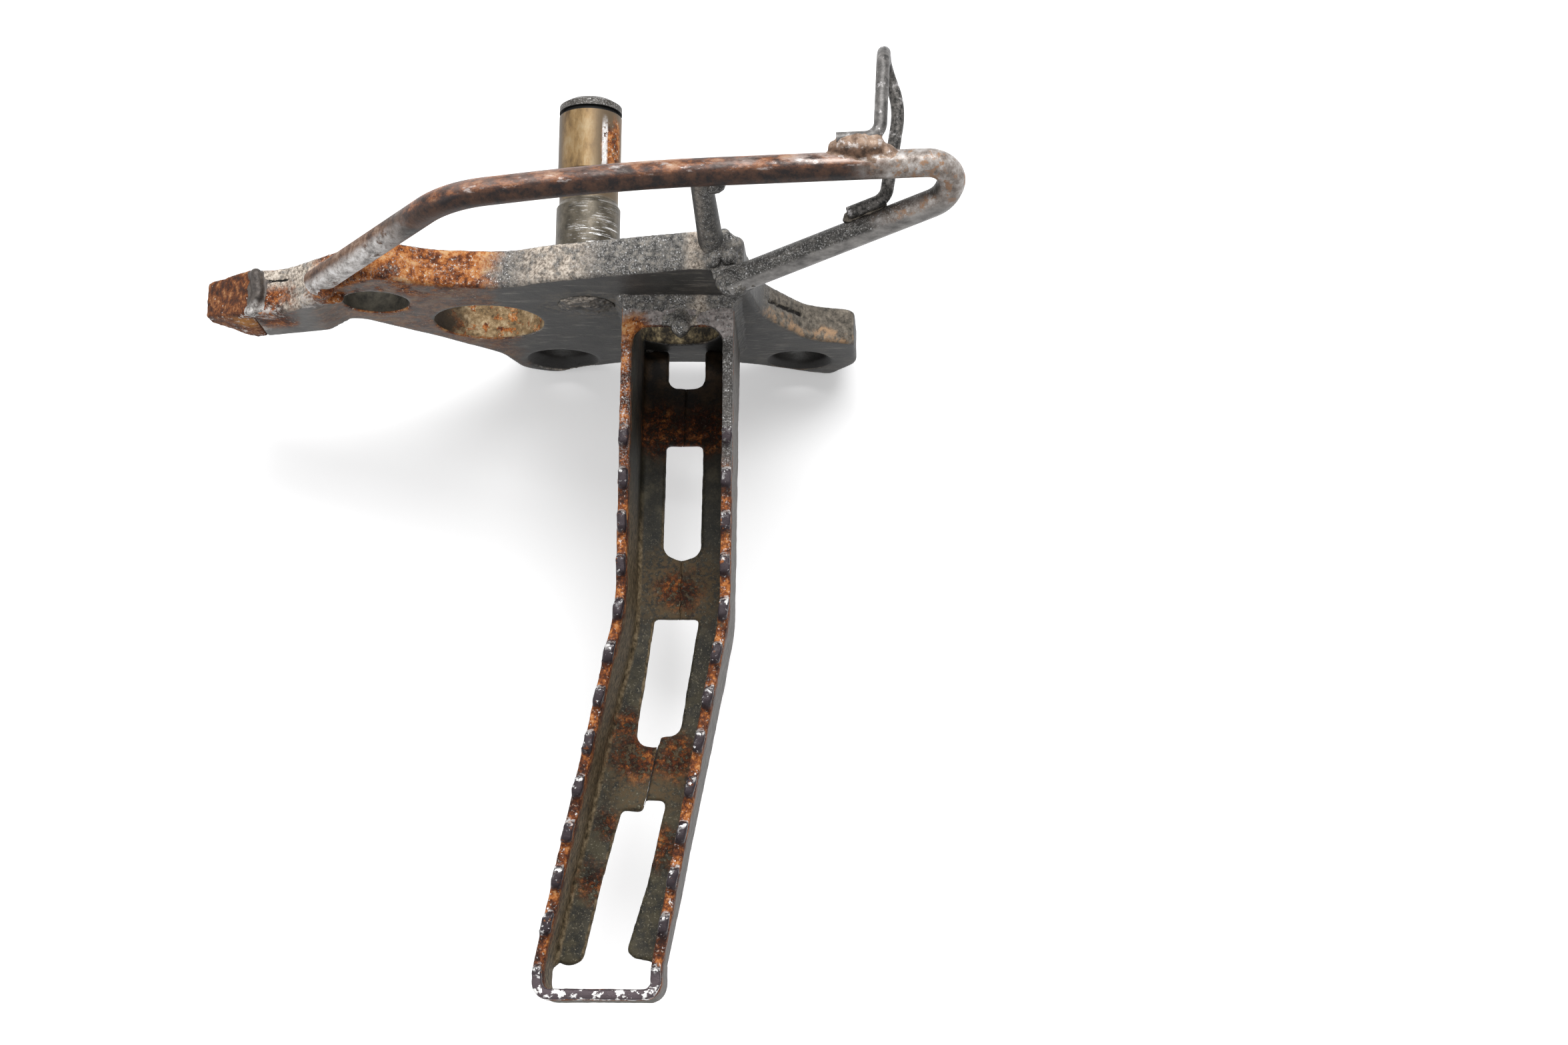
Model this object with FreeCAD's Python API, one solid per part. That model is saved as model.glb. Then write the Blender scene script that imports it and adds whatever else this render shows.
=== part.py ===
import FreeCAD
import Part
import math
import os
from FreeCAD import Vector

os.makedirs("parts", exist_ok=True)

# Foot peg and its bracket, welded into one rigid piece.
# Frame in millimetres: +X away from the arm, +Y towards the machine, +Z up.
# The origin is midway between the two bolt holes, on the face that seats on the machine.

# Mounting plate
plate_thickness = 10.0
arm_pad_height = 2.5
plate_top = 83.3
plate_edge_break = 0.7
bolt_span = 67.4
bolt_bore = 15.0
bolt_chamfer_left = 3.0
bolt_chamfer_right = 1.7
window_bore = 29.4
window_x = -50.0
window_z = 36.3
arm_hole_bore = 17.5
arm_hole_x = -77.8
arm_hole_z = 54.0
root_hole_bore = 23.5
root_hole_z = 27.0
lug_joint_x = -111.5

# Lug welded on the end of the arm
lug_length = 15.0
lug_nose_thickness = 9.5
lug_top_below_hole = 2.7
lug_bottom_below_hole = 23.2

# Peg channel, one folded sheet
sheet = 2.7
channel_centre_x = 2.5
channel_width = 29.4
channel_tip_width = 32.1
channel_length = 181.5
channel_level = 58.2
channel_root_depth = 51.0
channel_tip_depth = 22.0
fold_radius = 4.2
bend_start = 82.0
tip_drift = 17.2
tip_straight = 8.5
root_roof_length = 7.5
roof_corner_radius = 4.8

# Teeth along both rims
tooth_pitch = 11.4
tooth_first = 37.6
tooth_height = 2.7
tooth_crest = 4.0
tooth_foot = 7.0
tip_rim_length = 9.5

# Slots and flanges in the underside, as stations from the plate
slot_width = 10.1
slot_corner = 3.5
first_slot_end = 11.2
second_slot_start = 28.6
second_slot_length = 32.0
third_slot_start = 79.1
third_slot_length = 32.3
outer_slot_start = 131.6
flange_setback = 9.4
seam_gap = 0.3
torn_seam_gap = 0.9
torn_seam_offset = 1.1

# Pedal pivot shaft
shaft_x = -22.2
shaft_z = 52.0
shaft_length = 46.5
shaft_diameter = 16.8
collar_diameter = 17.1
collar_length = 17.5
spigot_diameter = 13.4
spigot_clearance = 0.1
spigot_setback = 1.0
neck_diameter = 15.7
neck_length = 8.0
ring_groove_width = 1.1
ring_groove_depth = 0.9
ring_groove_from_end = 3.0
plug_weld_diameter = 15.6
plug_weld_height = 1.4

# Heel guard and wire guide
rod = 7.0
guard_height = 111.0
guard_foot_from_hole = 13.4
guard_shoulder_x = -50.7
guard_shoulder_bend = 22.0
guard_bow_x = -7.3
guard_bow = 4.2
guard_bow_bend = 600.0
guard_turn_x = 69.2
guard_turn_reach = 3.8
guard_turn_drop = 11.0
guard_turn_bend = 6.6
stay_foot_diameter = 6.6
stay_head_diameter = 5.4
wire = 3.3
wire_reach = 29.0
wire_bend = 4.0
wire_turn_bend = 6.2
wire_return_bend = 25.0
wire_upper_foot_x = 44.3
wire_lower_foot_x = 49.2
wire_foot_length = 10.6
wire_clearance = 0.15
wire_standoff = 1.5

# Weld deposits
weld_ripple = 0.25
channel_top_weld = 3.0
channel_side_weld = 3.2
roof_seam_weld = 2.4
lug_weld = 2.2
guard_foot_weld = 2.5
guard_head_weld = 4.4
stay_foot_weld = 3.9
stay_head_weld = 2.6
stay_head_weld_drop = 1.15
guide_upper_weld = 3.4
guide_lower_weld = 2.2

bolt_x = bolt_span / 2
front = -plate_thickness
arm_thickness = plate_thickness + arm_pad_height
wall_left = channel_centre_x - channel_width / 2
wall_right = channel_centre_x + channel_width / 2
plate_right = wall_right + 3.6
floor_slope = (channel_root_depth - channel_tip_depth) / channel_length
tip_y = front - channel_length
flange_stop = channel_length - flange_setback
toothed_length = channel_length - tooth_first - tip_rim_length - tooth_foot / 2
tooth_count = int(toothed_length / tooth_pitch) + 1
lug_top = arm_hole_z - lug_top_below_hole
lug_bottom = arm_hole_z - lug_bottom_below_hole


def unit(a, b):
    """Unit vector from a to b."""
    d = b.sub(a)
    return d.multiply(1.0 / d.Length)


def rounded_edges(points, radii, closed):
    """Straight edges through the points, with an arc of the given radius at each corner."""
    count = len(points)
    cuts = []
    for i in range(count):
        here = points[i]
        if not closed and i in (0, count - 1) or radii[i] <= 0:
            cuts.append((here, None, here))
            continue
        before = points[i - 1]
        after = points[(i + 1) % count]
        back = unit(here, before)
        ahead = unit(here, after)
        half = back.getAngle(ahead) / 2
        reach = min(here.distanceToPoint(before), here.distanceToPoint(after)) * 0.49
        tangent = min(radii[i] / math.tan(half), reach)
        radius = tangent * math.tan(half)
        middle = unit(Vector(0, 0, 0), back.add(ahead))
        top = here.add(middle.multiply(radius / math.sin(half) - radius))
        cuts.append((here.add(back.multiply(tangent)), top, here.add(ahead.multiply(tangent))))
    edges = []
    for i in range(count):
        start, top, end = cuts[i]
        if top is not None:
            edges.append(Part.Arc(start, top, end).toShape())
        if closed or i < count - 1:
            following = cuts[(i + 1) % count][0]
            if end.distanceToPoint(following) > 1e-4:
                edges.append(Part.LineSegment(end, following).toShape())
    return edges


def loop_face(corners, place):
    """Flat face inside rounded corners (a, b, radius); place turns (a, b) into a point."""
    points = [place(a, b) for a, b, radius in corners]
    radii = [radius for a, b, radius in corners]
    return Part.Face(Part.Wire(rounded_edges(points, radii, True)))


def front_view(y):
    return lambda x, z: Vector(x, y, z)


def plan_view(z):
    return lambda x, y: Vector(x, y, z)


def side_view(x):
    return lambda y, z: Vector(x, y, z)


def bar(route, diameter):
    """Round bar bent along a route of (point, bend radius)."""
    points = [point for point, radius in route]
    radii = [radius for point, radius in route]
    path = Part.Wire(rounded_edges(points, radii, False))
    circle = Part.Circle(points[0], unit(points[0], points[1]), diameter / 2)
    section = Part.Wire([circle.toShape()])
    return path.makePipeShell([section], True, True)


def turned(edges, origin, along):
    """Solid turned from a half profile drawn in XY about +X, then laid along a direction."""
    face = Part.Face(Part.Wire(edges))
    solid = face.revolve(Vector(0, 0, 0), Vector(1, 0, 0), 360)
    solid.Placement = FreeCAD.Placement(origin, FreeCAD.Rotation(Vector(1, 0, 0), along))
    return solid


def bead(start, end, radius, ripples):
    """Weld bead: round ripples along a line between two rounded ends."""
    length = start.distanceToPoint(end)
    cap = radius * 0.8
    step = (length - 2 * cap) / ripples
    stations = [cap + i * step for i in range(ripples + 1)]
    slant = math.sqrt(0.5)
    first = Vector(0, 0, 0)
    last = Vector(length, 0, 0)
    edges = [Part.Arc(first, Vector(cap * (1 - slant), radius * slant, 0),
                      Vector(cap, radius, 0)).toShape()]
    for a, b in zip(stations, stations[1:]):
        crest = Vector((a + b) / 2, radius + weld_ripple, 0)
        edges.append(Part.Arc(Vector(a, radius, 0), crest, Vector(b, radius, 0)).toShape())
    edges.append(Part.Arc(Vector(length - cap, radius, 0),
                          Vector(length - cap * (1 - slant), radius * slant, 0), last).toShape())
    edges.append(Part.LineSegment(last, first).toShape())
    return turned(edges, start, unit(start, end))


def blob(centre, along, half_length, radius):
    """Rounded weld deposit, a short bar with domed ends along a direction."""
    direction = unit(Vector(0, 0, 0), along)
    length = 2 * half_length
    slant = radius * math.sqrt(0.5)
    corners = [Vector(0, 0, 0), Vector(radius, radius, 0), Vector(length - radius, radius, 0),
               Vector(length, 0, 0)]
    edges = [
        Part.Arc(corners[0], Vector(radius - slant, slant, 0), corners[1]).toShape(),
        Part.LineSegment(corners[1], corners[2]).toShape(),
        Part.Arc(corners[2], Vector(length - radius + slant, slant, 0), corners[3]).toShape(),
        Part.LineSegment(corners[3], corners[0]).toShape(),
    ]
    start = centre.sub(Vector(direction).multiply(half_length))
    return turned(edges, start, direction)


def plug_on_face(x, z, diameter, height, root_diameter, root_depth):
    """Low domed deposit on the front face that fills the mouth of a bore behind it."""
    dome = (diameter ** 2 / 4 + height ** 2) / (2 * height)
    lean = math.asin(diameter / 2 / dome) / 2
    rim = Vector(0, diameter / 2, 0)
    top = Vector(height, 0, 0)
    crown = Vector(height - dome + dome * math.cos(lean), dome * math.sin(lean), 0)
    corners = [top, Vector(-root_depth, 0, 0), Vector(-root_depth, root_diameter / 2, 0),
               Vector(0, root_diameter / 2, 0), rim]
    edges = [Part.Arc(rim, crown, top).toShape()]
    edges += [Part.LineSegment(a, b).toShape() for a, b in zip(corners, corners[1:])]
    return turned(edges, Vector(x, front, z), Vector(0, -1, 0))


def clear_of(shape, *others):
    """The shape without what the others take up, as its largest solid."""
    for other in others:
        shape = shape.cut(other)
    return max(shape.Solids, key=lambda s: s.Volume)


def bore_along_y(x, z, diameter):
    return Part.makeCylinder(diameter / 2, 4 * plate_thickness, Vector(x, -2 * plate_thickness, z),
                             Vector(0, 1, 0))


def chamfer_along_y(x, z, diameter, width):
    """Cone that breaks the front edge of a bore."""
    outer = diameter / 2 + width
    return Part.makeCone(outer, diameter / 2, width, Vector(x, front, z), Vector(0, 1, 0))


# Outline of the mounting plate, seen from the peg side
def plate_corners():
    right_ear = [
        (bolt_x - 16.7, -2.4, 30),
        (bolt_x + 2.6, -12.6, 4),
        (bolt_x + 9.0, -14.6, 3),
        (bolt_x + 16.4, -3.0, 9),
        (bolt_x + 15.6, 17.2, 4),
        (bolt_x + 3.2, 20.4, 16),
        (plate_right + 3.4, 42.0, 35),
    ]
    head = [
        (plate_right, plate_top - 17.0, 20),
        (plate_right - 0.3, plate_top - 5.0, 3),
        (plate_right - 11.8, plate_top, 8),
        (shaft_x - 7.8, plate_top - 10.9, 40),
        (window_x + 8.0, window_z + window_bore / 2 + 15.9, 22),
        (window_x - 10.0, window_z + window_bore / 2 + 17.6, 25),
    ]
    arm = [
        (arm_hole_x + 2.8, arm_hole_z + arm_hole_bore / 2 + 13.3, 7),
        (arm_hole_x - 6.7, arm_hole_z + arm_hole_bore / 2 + 5.8, 14),
        (lug_joint_x + 7.5, lug_top + 0.6, 14),
        (lug_joint_x, lug_top, 0),
        (lug_joint_x, lug_bottom, 0),
        (arm_hole_x - 20.0, arm_hole_z - 19.0, 12),
        (arm_hole_x - 7.4, arm_hole_z - 14.2, 6),
    ]
    left_ear = [
        (window_x - 16.0, window_z - 13.9, 60),
        (-bolt_x - 16.8, 6.2, 12),
        (-bolt_x - 12.6, -8.2, 9),
        (-bolt_x - 3.6, -13.2, 7),
        (-bolt_x + 15.7, -2.4, 30),
    ]
    return right_ear + head + arm + left_ear


def on_flat_face(edge, levels):
    """True where an edge lies wholly in one of the planes Y = level."""
    box = edge.BoundBox
    return box.YLength < 1e-4 and any(abs(box.YMin - level) < 1e-4 for level in levels)


def mounting_plate():
    thick = loop_face(plate_corners(), front_view(-arm_thickness))
    body = thick.extrude(Vector(0, arm_thickness, 0))
    step_foot = arm_hole_x - 9.5
    step_head = step_foot - 6.0
    far_side = 2 * bolt_span
    relief = loop_face([
        (step_head, -arm_thickness - 1, 0),
        (step_head, -arm_thickness, 0),
        (step_foot, front, 0),
        (far_side, front, 0),
        (far_side, -arm_thickness - 1, 0),
    ], plan_view(-plate_top))
    body = body.cut(relief.extrude(Vector(0, 0, 3 * plate_top)))
    rims = [e for e in body.Edges if on_flat_face(e, (0, front, -arm_thickness))]
    rims = [e for e in rims if e.CenterOfMass.x > lug_joint_x + 0.5]
    rims = [e for e in rims if abs(e.CenterOfMass.x - step_foot) > 1e-3]
    rims = [e for e in rims if abs(e.CenterOfMass.x - step_head) > 1e-3]
    body = body.makeChamfer(plate_edge_break, rims)
    for x, z, diameter in (
        (-bolt_x, 0, bolt_bore),
        (bolt_x, 0, bolt_bore),
        (window_x, window_z, window_bore),
        (arm_hole_x, arm_hole_z, arm_hole_bore),
        (channel_centre_x - 2.0, root_hole_z, root_hole_bore),
        (shaft_x, shaft_z, spigot_diameter + 2 * spigot_clearance),
    ):
        body = body.cut(bore_along_y(x, z, diameter))
    body = body.cut(chamfer_along_y(-bolt_x, 0, bolt_bore, bolt_chamfer_left))
    body = body.cut(chamfer_along_y(bolt_x, 0, bolt_bore, bolt_chamfer_right))
    return body.Solids[0]


def arm_stop_lug():
    """Pointed lug on the arm's end, thinner towards its nose."""
    nose_x = lug_joint_x - lug_length
    nose_z = lug_bottom + 0.35 * (lug_top - lug_bottom)
    face = loop_face([
        (lug_joint_x, lug_top, 0),
        (lug_joint_x - 1.5, lug_top + 0.4, 1),
        (nose_x, nose_z + 2.2, 1.5),
        (nose_x + 0.7, nose_z - 2.2, 1.5),
        (lug_joint_x - 4.0, lug_bottom - 0.8, 4),
        (lug_joint_x, lug_bottom, 0),
    ], front_view(-arm_thickness))
    body = face.extrude(Vector(0, arm_thickness, 0))
    rims = [e for e in body.Edges if on_flat_face(e, (0, -arm_thickness))]
    rims = [e for e in rims if e.CenterOfMass.x < lug_joint_x - 0.01]
    body = body.makeChamfer(plate_edge_break, rims)
    wedge = loop_face([
        (lug_joint_x - 3.0, -arm_thickness, 0),
        (nose_x - 1, -lug_nose_thickness, 0),
        (nose_x - 1, -arm_thickness - 1, 0),
        (lug_joint_x - 3.0, -arm_thickness - 1, 0),
    ], plan_view(0))
    return body.cut(wedge.extrude(Vector(0, 0, plate_top))).Solids[0]


def floor_level(y):
    """Height of the channel's outer underside at a station along the peg."""
    return channel_level - channel_root_depth + (front - y) * floor_slope


def channel_outline():
    """Outer outline of the channel in plan; the tip has been pushed sideways in use."""
    bend_y = front - bend_start
    knee_y = tip_y + tip_straight
    tip_centre = channel_centre_x - tip_drift
    tip_left = tip_centre - channel_tip_width / 2
    tip_right = tip_centre + channel_tip_width / 2
    return [
        (wall_left, 6, 0),
        (wall_left, bend_y, 60),
        (tip_left, knee_y, 3),
        (tip_left, tip_y, 8.5),
        (tip_right, tip_y, 7.5),
        (tip_right, knee_y, 3),
        (wall_right, bend_y - 2, 60),
        (wall_right, 6, 0),
    ]


def rim_line():
    """Side view of the toothed rim, from the root to the tip."""
    line = [(front + 1, channel_level, 0)]
    for i in range(tooth_count):
        centre = front - tooth_first - i * tooth_pitch
        line.append((centre + tooth_foot / 2, channel_level, 1.2))
        line.append((centre + tooth_crest / 2, channel_level + tooth_height, 0.8))
        line.append((centre - tooth_crest / 2, channel_level + tooth_height, 0.8))
        line.append((centre - tooth_foot / 2, channel_level, 1.2))
    line.append((tip_y + tip_rim_length, channel_level, 1.5))
    line.append((tip_y + tip_rim_length - 2.0, channel_level + tooth_height, 1.5))
    line.append((tip_y - 1, channel_level + tooth_height, 0))
    return line


def side_prism(corners):
    """Solid across the whole channel with the given side view."""
    reach = 4 * channel_width
    return loop_face(corners, side_view(-reach)).extrude(Vector(2 * reach, 0, 0))


def fold_rounded(body, start_y, end_y, radius):
    """Rounds the two long lower edges of a stretch of the channel."""
    chosen = []
    for edge in body.Edges:
        middle = edge.CenterOfMass
        ends = [p.Point for p in edge.Vertexes]
        if len(ends) < 2 or abs(ends[0].y - ends[1].y) < 1.0:
            continue
        if max(p.z for p in ends) < channel_level - 5 and start_y > middle.y > end_y:
            chosen.append(edge)
    return body.makeFillet(radius, chosen)


def centre_line(offset, station):
    """Point beside the channel's middle line at a distance from the plate, in plan."""
    leaning = channel_length - tip_straight - bend_start
    past = max(0.0, station - bend_start)
    return Vector(channel_centre_x + offset - tip_drift * past / leaning, front - station, 0)


def gap_between(offset, gap, start, end):
    """Corners of the narrow gap that a seam leaves between two slots."""
    lap = 0.4
    return [(offset - gap / 2, start - lap, 0), (offset + gap / 2, start - lap, 0),
            (offset + gap / 2, end + lap, 0), (offset - gap / 2, end + lap, 0)]


def slots():
    """Openings in the underside, each a prism; the halves have slid apart at the torn seam."""
    seam = -0.2
    half = slot_width / 2
    left = seam - half
    right = seam + half
    point = slot_corner * 0.6
    second_end = second_slot_start + second_slot_length
    third_end = third_slot_start + third_slot_length
    slid = 2.6
    torn = torn_seam_offset
    outer_left = torn - half - 0.9
    outer_right = torn + half + 0.1
    outer_end = flange_stop - 3.6
    outer_middle = (outer_slot_start + outer_end) / 2
    beside_wall = channel_tip_width / 2 - sheet - 0.8
    shapes = [
        [(left, -1, 0), (right, -1, 0), (right, first_slot_end, slot_corner),
         (seam, first_slot_end + 0.6, 0), (left, first_slot_end, slot_corner)],
        [(left, second_slot_start, 0.6), (right, second_slot_start, 0.6),
         (right, second_end, slot_corner), (seam, second_end + point, 0),
         (left, second_end, slot_corner)],
        [(left - 1.8, third_slot_start, 0.6), (right, third_slot_start, 0.6),
         (right + 1.1, third_end, slot_corner), (torn, third_end + 0.3, 0.4),
         (torn, third_end + slid + 0.9, 0), (left, third_end + slid, slot_corner)],
        [(outer_left, outer_slot_start, 1), (torn - 0.4, outer_slot_start + 0.4, 1.5),
         (torn - 0.4, outer_slot_start - slid, 0), (outer_right, outer_slot_start - slid, 1),
         (outer_right, outer_middle, 30), (outer_right - 1.6, outer_end, 1.5),
         (outer_right + 0.7, flange_stop - 1.9, 1.5), (beside_wall, flange_stop - 0.9, 0),
         (beside_wall, flange_stop + 1, 0), (-beside_wall, flange_stop + 1, 0),
         (-beside_wall, flange_stop - 1.0, 0), (outer_left - 4.3, flange_stop + 0.5, 2.5),
         (outer_left - 1.2, outer_end + 2.2, 2), (outer_left - 1.0, outer_middle, 30)],
        gap_between(seam, seam_gap, first_slot_end, second_slot_start),
        gap_between(seam, seam_gap, second_end + point, third_slot_start),
        gap_between(torn, torn_seam_gap, third_end + slid, outer_slot_start - slid),
    ]
    height = channel_level - sheet - 1
    return [loop_face(corners, centre_line).extrude(Vector(0, 0, height)) for corners in shapes]


def peg_channel():
    outer = loop_face(channel_outline(), plan_view(0))
    inner_wire = outer.OuterWire.makeOffset2D(-sheet)
    inner = Part.Face(inner_wire)
    top = channel_level + 20
    lift = sheet * math.hypot(1, floor_slope)
    stop_y = front - flange_stop
    end_y = tip_y - 5

    def under(y, rise):
        return (y, floor_level(y) + rise, 0)

    folded = side_prism([under(front, 0), under(stop_y, 0), (stop_y, top, 0), (front, top, 0)])
    hollow = side_prism([under(front, lift), under(stop_y, lift), (stop_y, top, 0),
                         (front, top, 0)])
    open_end = side_prism([under(stop_y, 0), under(end_y, 0), (end_y, top, 0), (stop_y, top, 0)])
    outer_block = outer.extrude(Vector(0, 0, top))
    inner_block = inner.extrude(Vector(0, 0, top))
    shell = fold_rounded(outer_block.common(folded), front, stop_y, fold_radius)
    void = fold_rounded(inner_block.common(hollow), front, stop_y, fold_radius - sheet)
    body = shell.cut(void)
    body = body.fuse(outer_block.cut(inner_block).common(open_end))

    roof = loop_face([
        (wall_left + sheet / 2, front, 0),
        (wall_right - sheet / 2, front, 0),
        (wall_right - sheet / 2, front - root_roof_length - roof_corner_radius, 0),
        (wall_left + sheet / 2, front - root_roof_length - roof_corner_radius, 0),
    ], plan_view(channel_level - sheet)).extrude(Vector(0, 0, sheet))
    mouth = loop_face([
        (wall_left + sheet, front - root_roof_length, roof_corner_radius),
        (wall_right - sheet, front - root_roof_length, roof_corner_radius),
        (wall_right - sheet, front - 40, 0),
        (wall_left + sheet, front - 40, 0),
    ], plan_view(channel_level - 2 * sheet)).extrude(Vector(0, 0, 3 * sheet))
    body = body.fuse(roof.cut(mouth))

    sky = rim_line() + [(tip_y - 1, top + 5, 0), (front + 1, top + 5, 0)]
    body = body.cut(side_prism(sky))
    for opening in slots():
        body = body.cut(opening)
    return body.removeSplitter().Solids[0]


def pivot_shaft():
    """Turned shaft: spigot in the plate, collar, relieved neck, bearing length, ring groove."""
    groove_far = shaft_length - ring_groove_from_end
    groove_near = groove_far - ring_groove_width
    neck_end = collar_length + neck_length
    r = shaft_diameter / 2
    collar_r = collar_diameter / 2
    neck_r = neck_diameter / 2
    groove_r = r - ring_groove_depth
    spigot_r = spigot_diameter / 2
    spigot_end = front + spigot_setback
    profile = [
        (0, spigot_end), (spigot_r, spigot_end), (spigot_r, 0), (collar_r, 0),
        (collar_r, collar_length - 1.2), (neck_r, collar_length), (neck_r, neck_end),
        (r, neck_end + 0.6), (r, groove_near), (groove_r, groove_near), (groove_r, groove_far),
        (r, groove_far), (r, shaft_length - 1.2), (r - 1.8, shaft_length), (0, shaft_length),
    ]
    points = [Vector(shaft_x + radius, y, shaft_z) for radius, y in profile]
    face = Part.Face(Part.makePolygon(points + [points[0]]))
    return face.revolve(Vector(shaft_x, 0, shaft_z), Vector(0, 1, 0), 360)


def guard_line():
    """Route of the heel guard: up from the arm, across, round, and down to the plate's head."""
    turn_end_x = guard_turn_x + guard_turn_reach
    foot = Vector(arm_hole_x - guard_foot_from_hole, front + 1.0, arm_hole_z + 13.5)
    shoulder = Vector(guard_shoulder_x, -1.0, guard_height)
    middle = Vector(guard_bow_x, guard_bow, guard_height + 0.2)
    turn_top = Vector(guard_turn_x, guard_bow + 3.4, guard_height + 0.1)
    turn_side = Vector(turn_end_x, guard_bow + 1.2, guard_height - 0.44 * guard_turn_drop)
    turn_low = Vector(guard_turn_x + 1.2, guard_bow - 2.0, guard_height - guard_turn_drop)
    end = Vector(plate_right - 3.8, front - 3.9, plate_top - 0.5)
    return [(foot, 0), (shoulder, guard_shoulder_bend), (middle, guard_bow_bend),
            (turn_top, guard_turn_bend), (turn_side, guard_turn_bend),
            (turn_low, guard_turn_bend), (end, 0)]


def heel_guard_hoop():
    return bar(guard_line(), rod)


def point_on(a, b, share):
    return a.add(b.sub(a).multiply(share))


def stay_line():
    """Foot and head of the stay's centre line."""
    foot = Vector(plate_right - 8.2, 0.46 * front, plate_top - 4.0)
    head = Vector(plate_right - 10.0, guard_bow + 1.0, guard_height)
    return foot, head


def guard_stay(plate, hoop):
    """Tapered stay from the plate's head to the middle of the guard."""
    foot, head = stay_line()
    stay = Part.makeCone(stay_foot_diameter / 2, stay_head_diameter / 2,
                         foot.distanceToPoint(head), foot, head.sub(foot))
    return clear_of(stay, plate, hoop)


def beside(a, b, x, lean, gap):
    """Point of the wire's centre line that lies beside the rod from a to b at a given x."""
    on_rod = point_on(a, b, (x - a.x) / (b.x - a.x))
    along = unit(a, b)
    square = lean.sub(Vector(along).multiply(lean.dot(along)))
    side = unit(Vector(0, 0, 0), square)
    return on_rod.add(side.multiply((rod + wire) / 2 + gap))


def wire_line():
    """Route of the wire guide: a foot on the guard, out, back below it, a foot on its lower leg."""
    middle, turn_top, turn_side, turn_low, end = [point for point, radius in guard_line()[2:]]
    over = Vector(0, 0.9, 0.44)
    inside = Vector(0, 0.83, 0.56)
    upper_end_x = wire_upper_foot_x + wire_foot_length
    lower_end_x = wire_lower_foot_x + wire_foot_length - 1.4
    upper_a = beside(middle, turn_top, wire_upper_foot_x, over, wire_standoff)
    upper_b = beside(middle, turn_top, upper_end_x, over, wire_standoff)
    lower_a = beside(turn_low, end, lower_end_x, inside, wire_clearance)
    lower_b = beside(turn_low, end, wire_lower_foot_x, inside, wire_clearance)
    far = upper_b.y + wire_reach - wire_bend - 1.0
    low = lower_a.z + 0.5
    return [
        (upper_a, 0),
        (upper_b, wire_bend),
        (Vector(upper_end_x + 0.7, far, upper_b.z), wire_turn_bend),
        (Vector(upper_end_x + 1.3, far, low + 0.6), wire_turn_bend),
        (Vector(lower_end_x + 1.5, upper_b.y + 0.48 * wire_reach, low), wire_return_bend),
        (lower_a, wire_bend),
        (lower_b, 0),
    ]


def hose_guide_loop():
    return bar(wire_line(), wire)


def seam_welds(plate, lug, channel):
    """Welds round the foot of the channel, the lug and the shaft."""
    out = 0.5
    top_left = Vector(wall_left - 2.0, front - out, channel_level + out)
    top_right = Vector(wall_right + 2.0, front - out, channel_level + out)
    low = floor_level(front) + fold_radius
    high = channel_level - 2.0
    depth = 2 * (channel_top_weld + channel_side_weld)
    behind = Part.makeBox(4 * channel_width, depth, 2 * plate_top,
                          Vector(wall_left - channel_width, front, -plate_top / 2))
    between_walls = Part.makeBox(channel_width, depth, channel_level,
                                 Vector(wall_left, front - depth, 0))
    plug = plug_on_face(shaft_x, shaft_z, plug_weld_diameter, plug_weld_height,
                        spigot_diameter, spigot_setback - spigot_clearance)
    top = bead(top_left, top_right, channel_top_weld, 6)
    top = clear_of(top, behind, between_walls)
    welds = {"weld_shaft_plug": plug, "weld_channel_top": top}
    for name, x in (("weld_channel_left", wall_left - out), ("weld_channel_right", wall_right + out)):
        side = bead(Vector(x, front - out, low), Vector(x, front - out, high), channel_side_weld, 6)
        welds[name] = clear_of(side, behind, between_walls, top, plug)
    nub = blob(Vector(channel_centre_x + 1.0, front - root_roof_length + 0.4, channel_level - 0.3),
               Vector(0, 1, 0), roof_seam_weld + 1.6, roof_seam_weld)
    welds["weld_roof_seam"] = clear_of(nub, channel, top)
    ridge = blob(Vector(lug_joint_x - 0.7, -arm_thickness / 2 - 0.5, lug_top + 0.8),
                 Vector(0, 1, 0), arm_thickness / 2 + 0.1, lug_weld)
    welds["weld_stop_lug"] = clear_of(ridge, plate, lug)
    return welds


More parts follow.
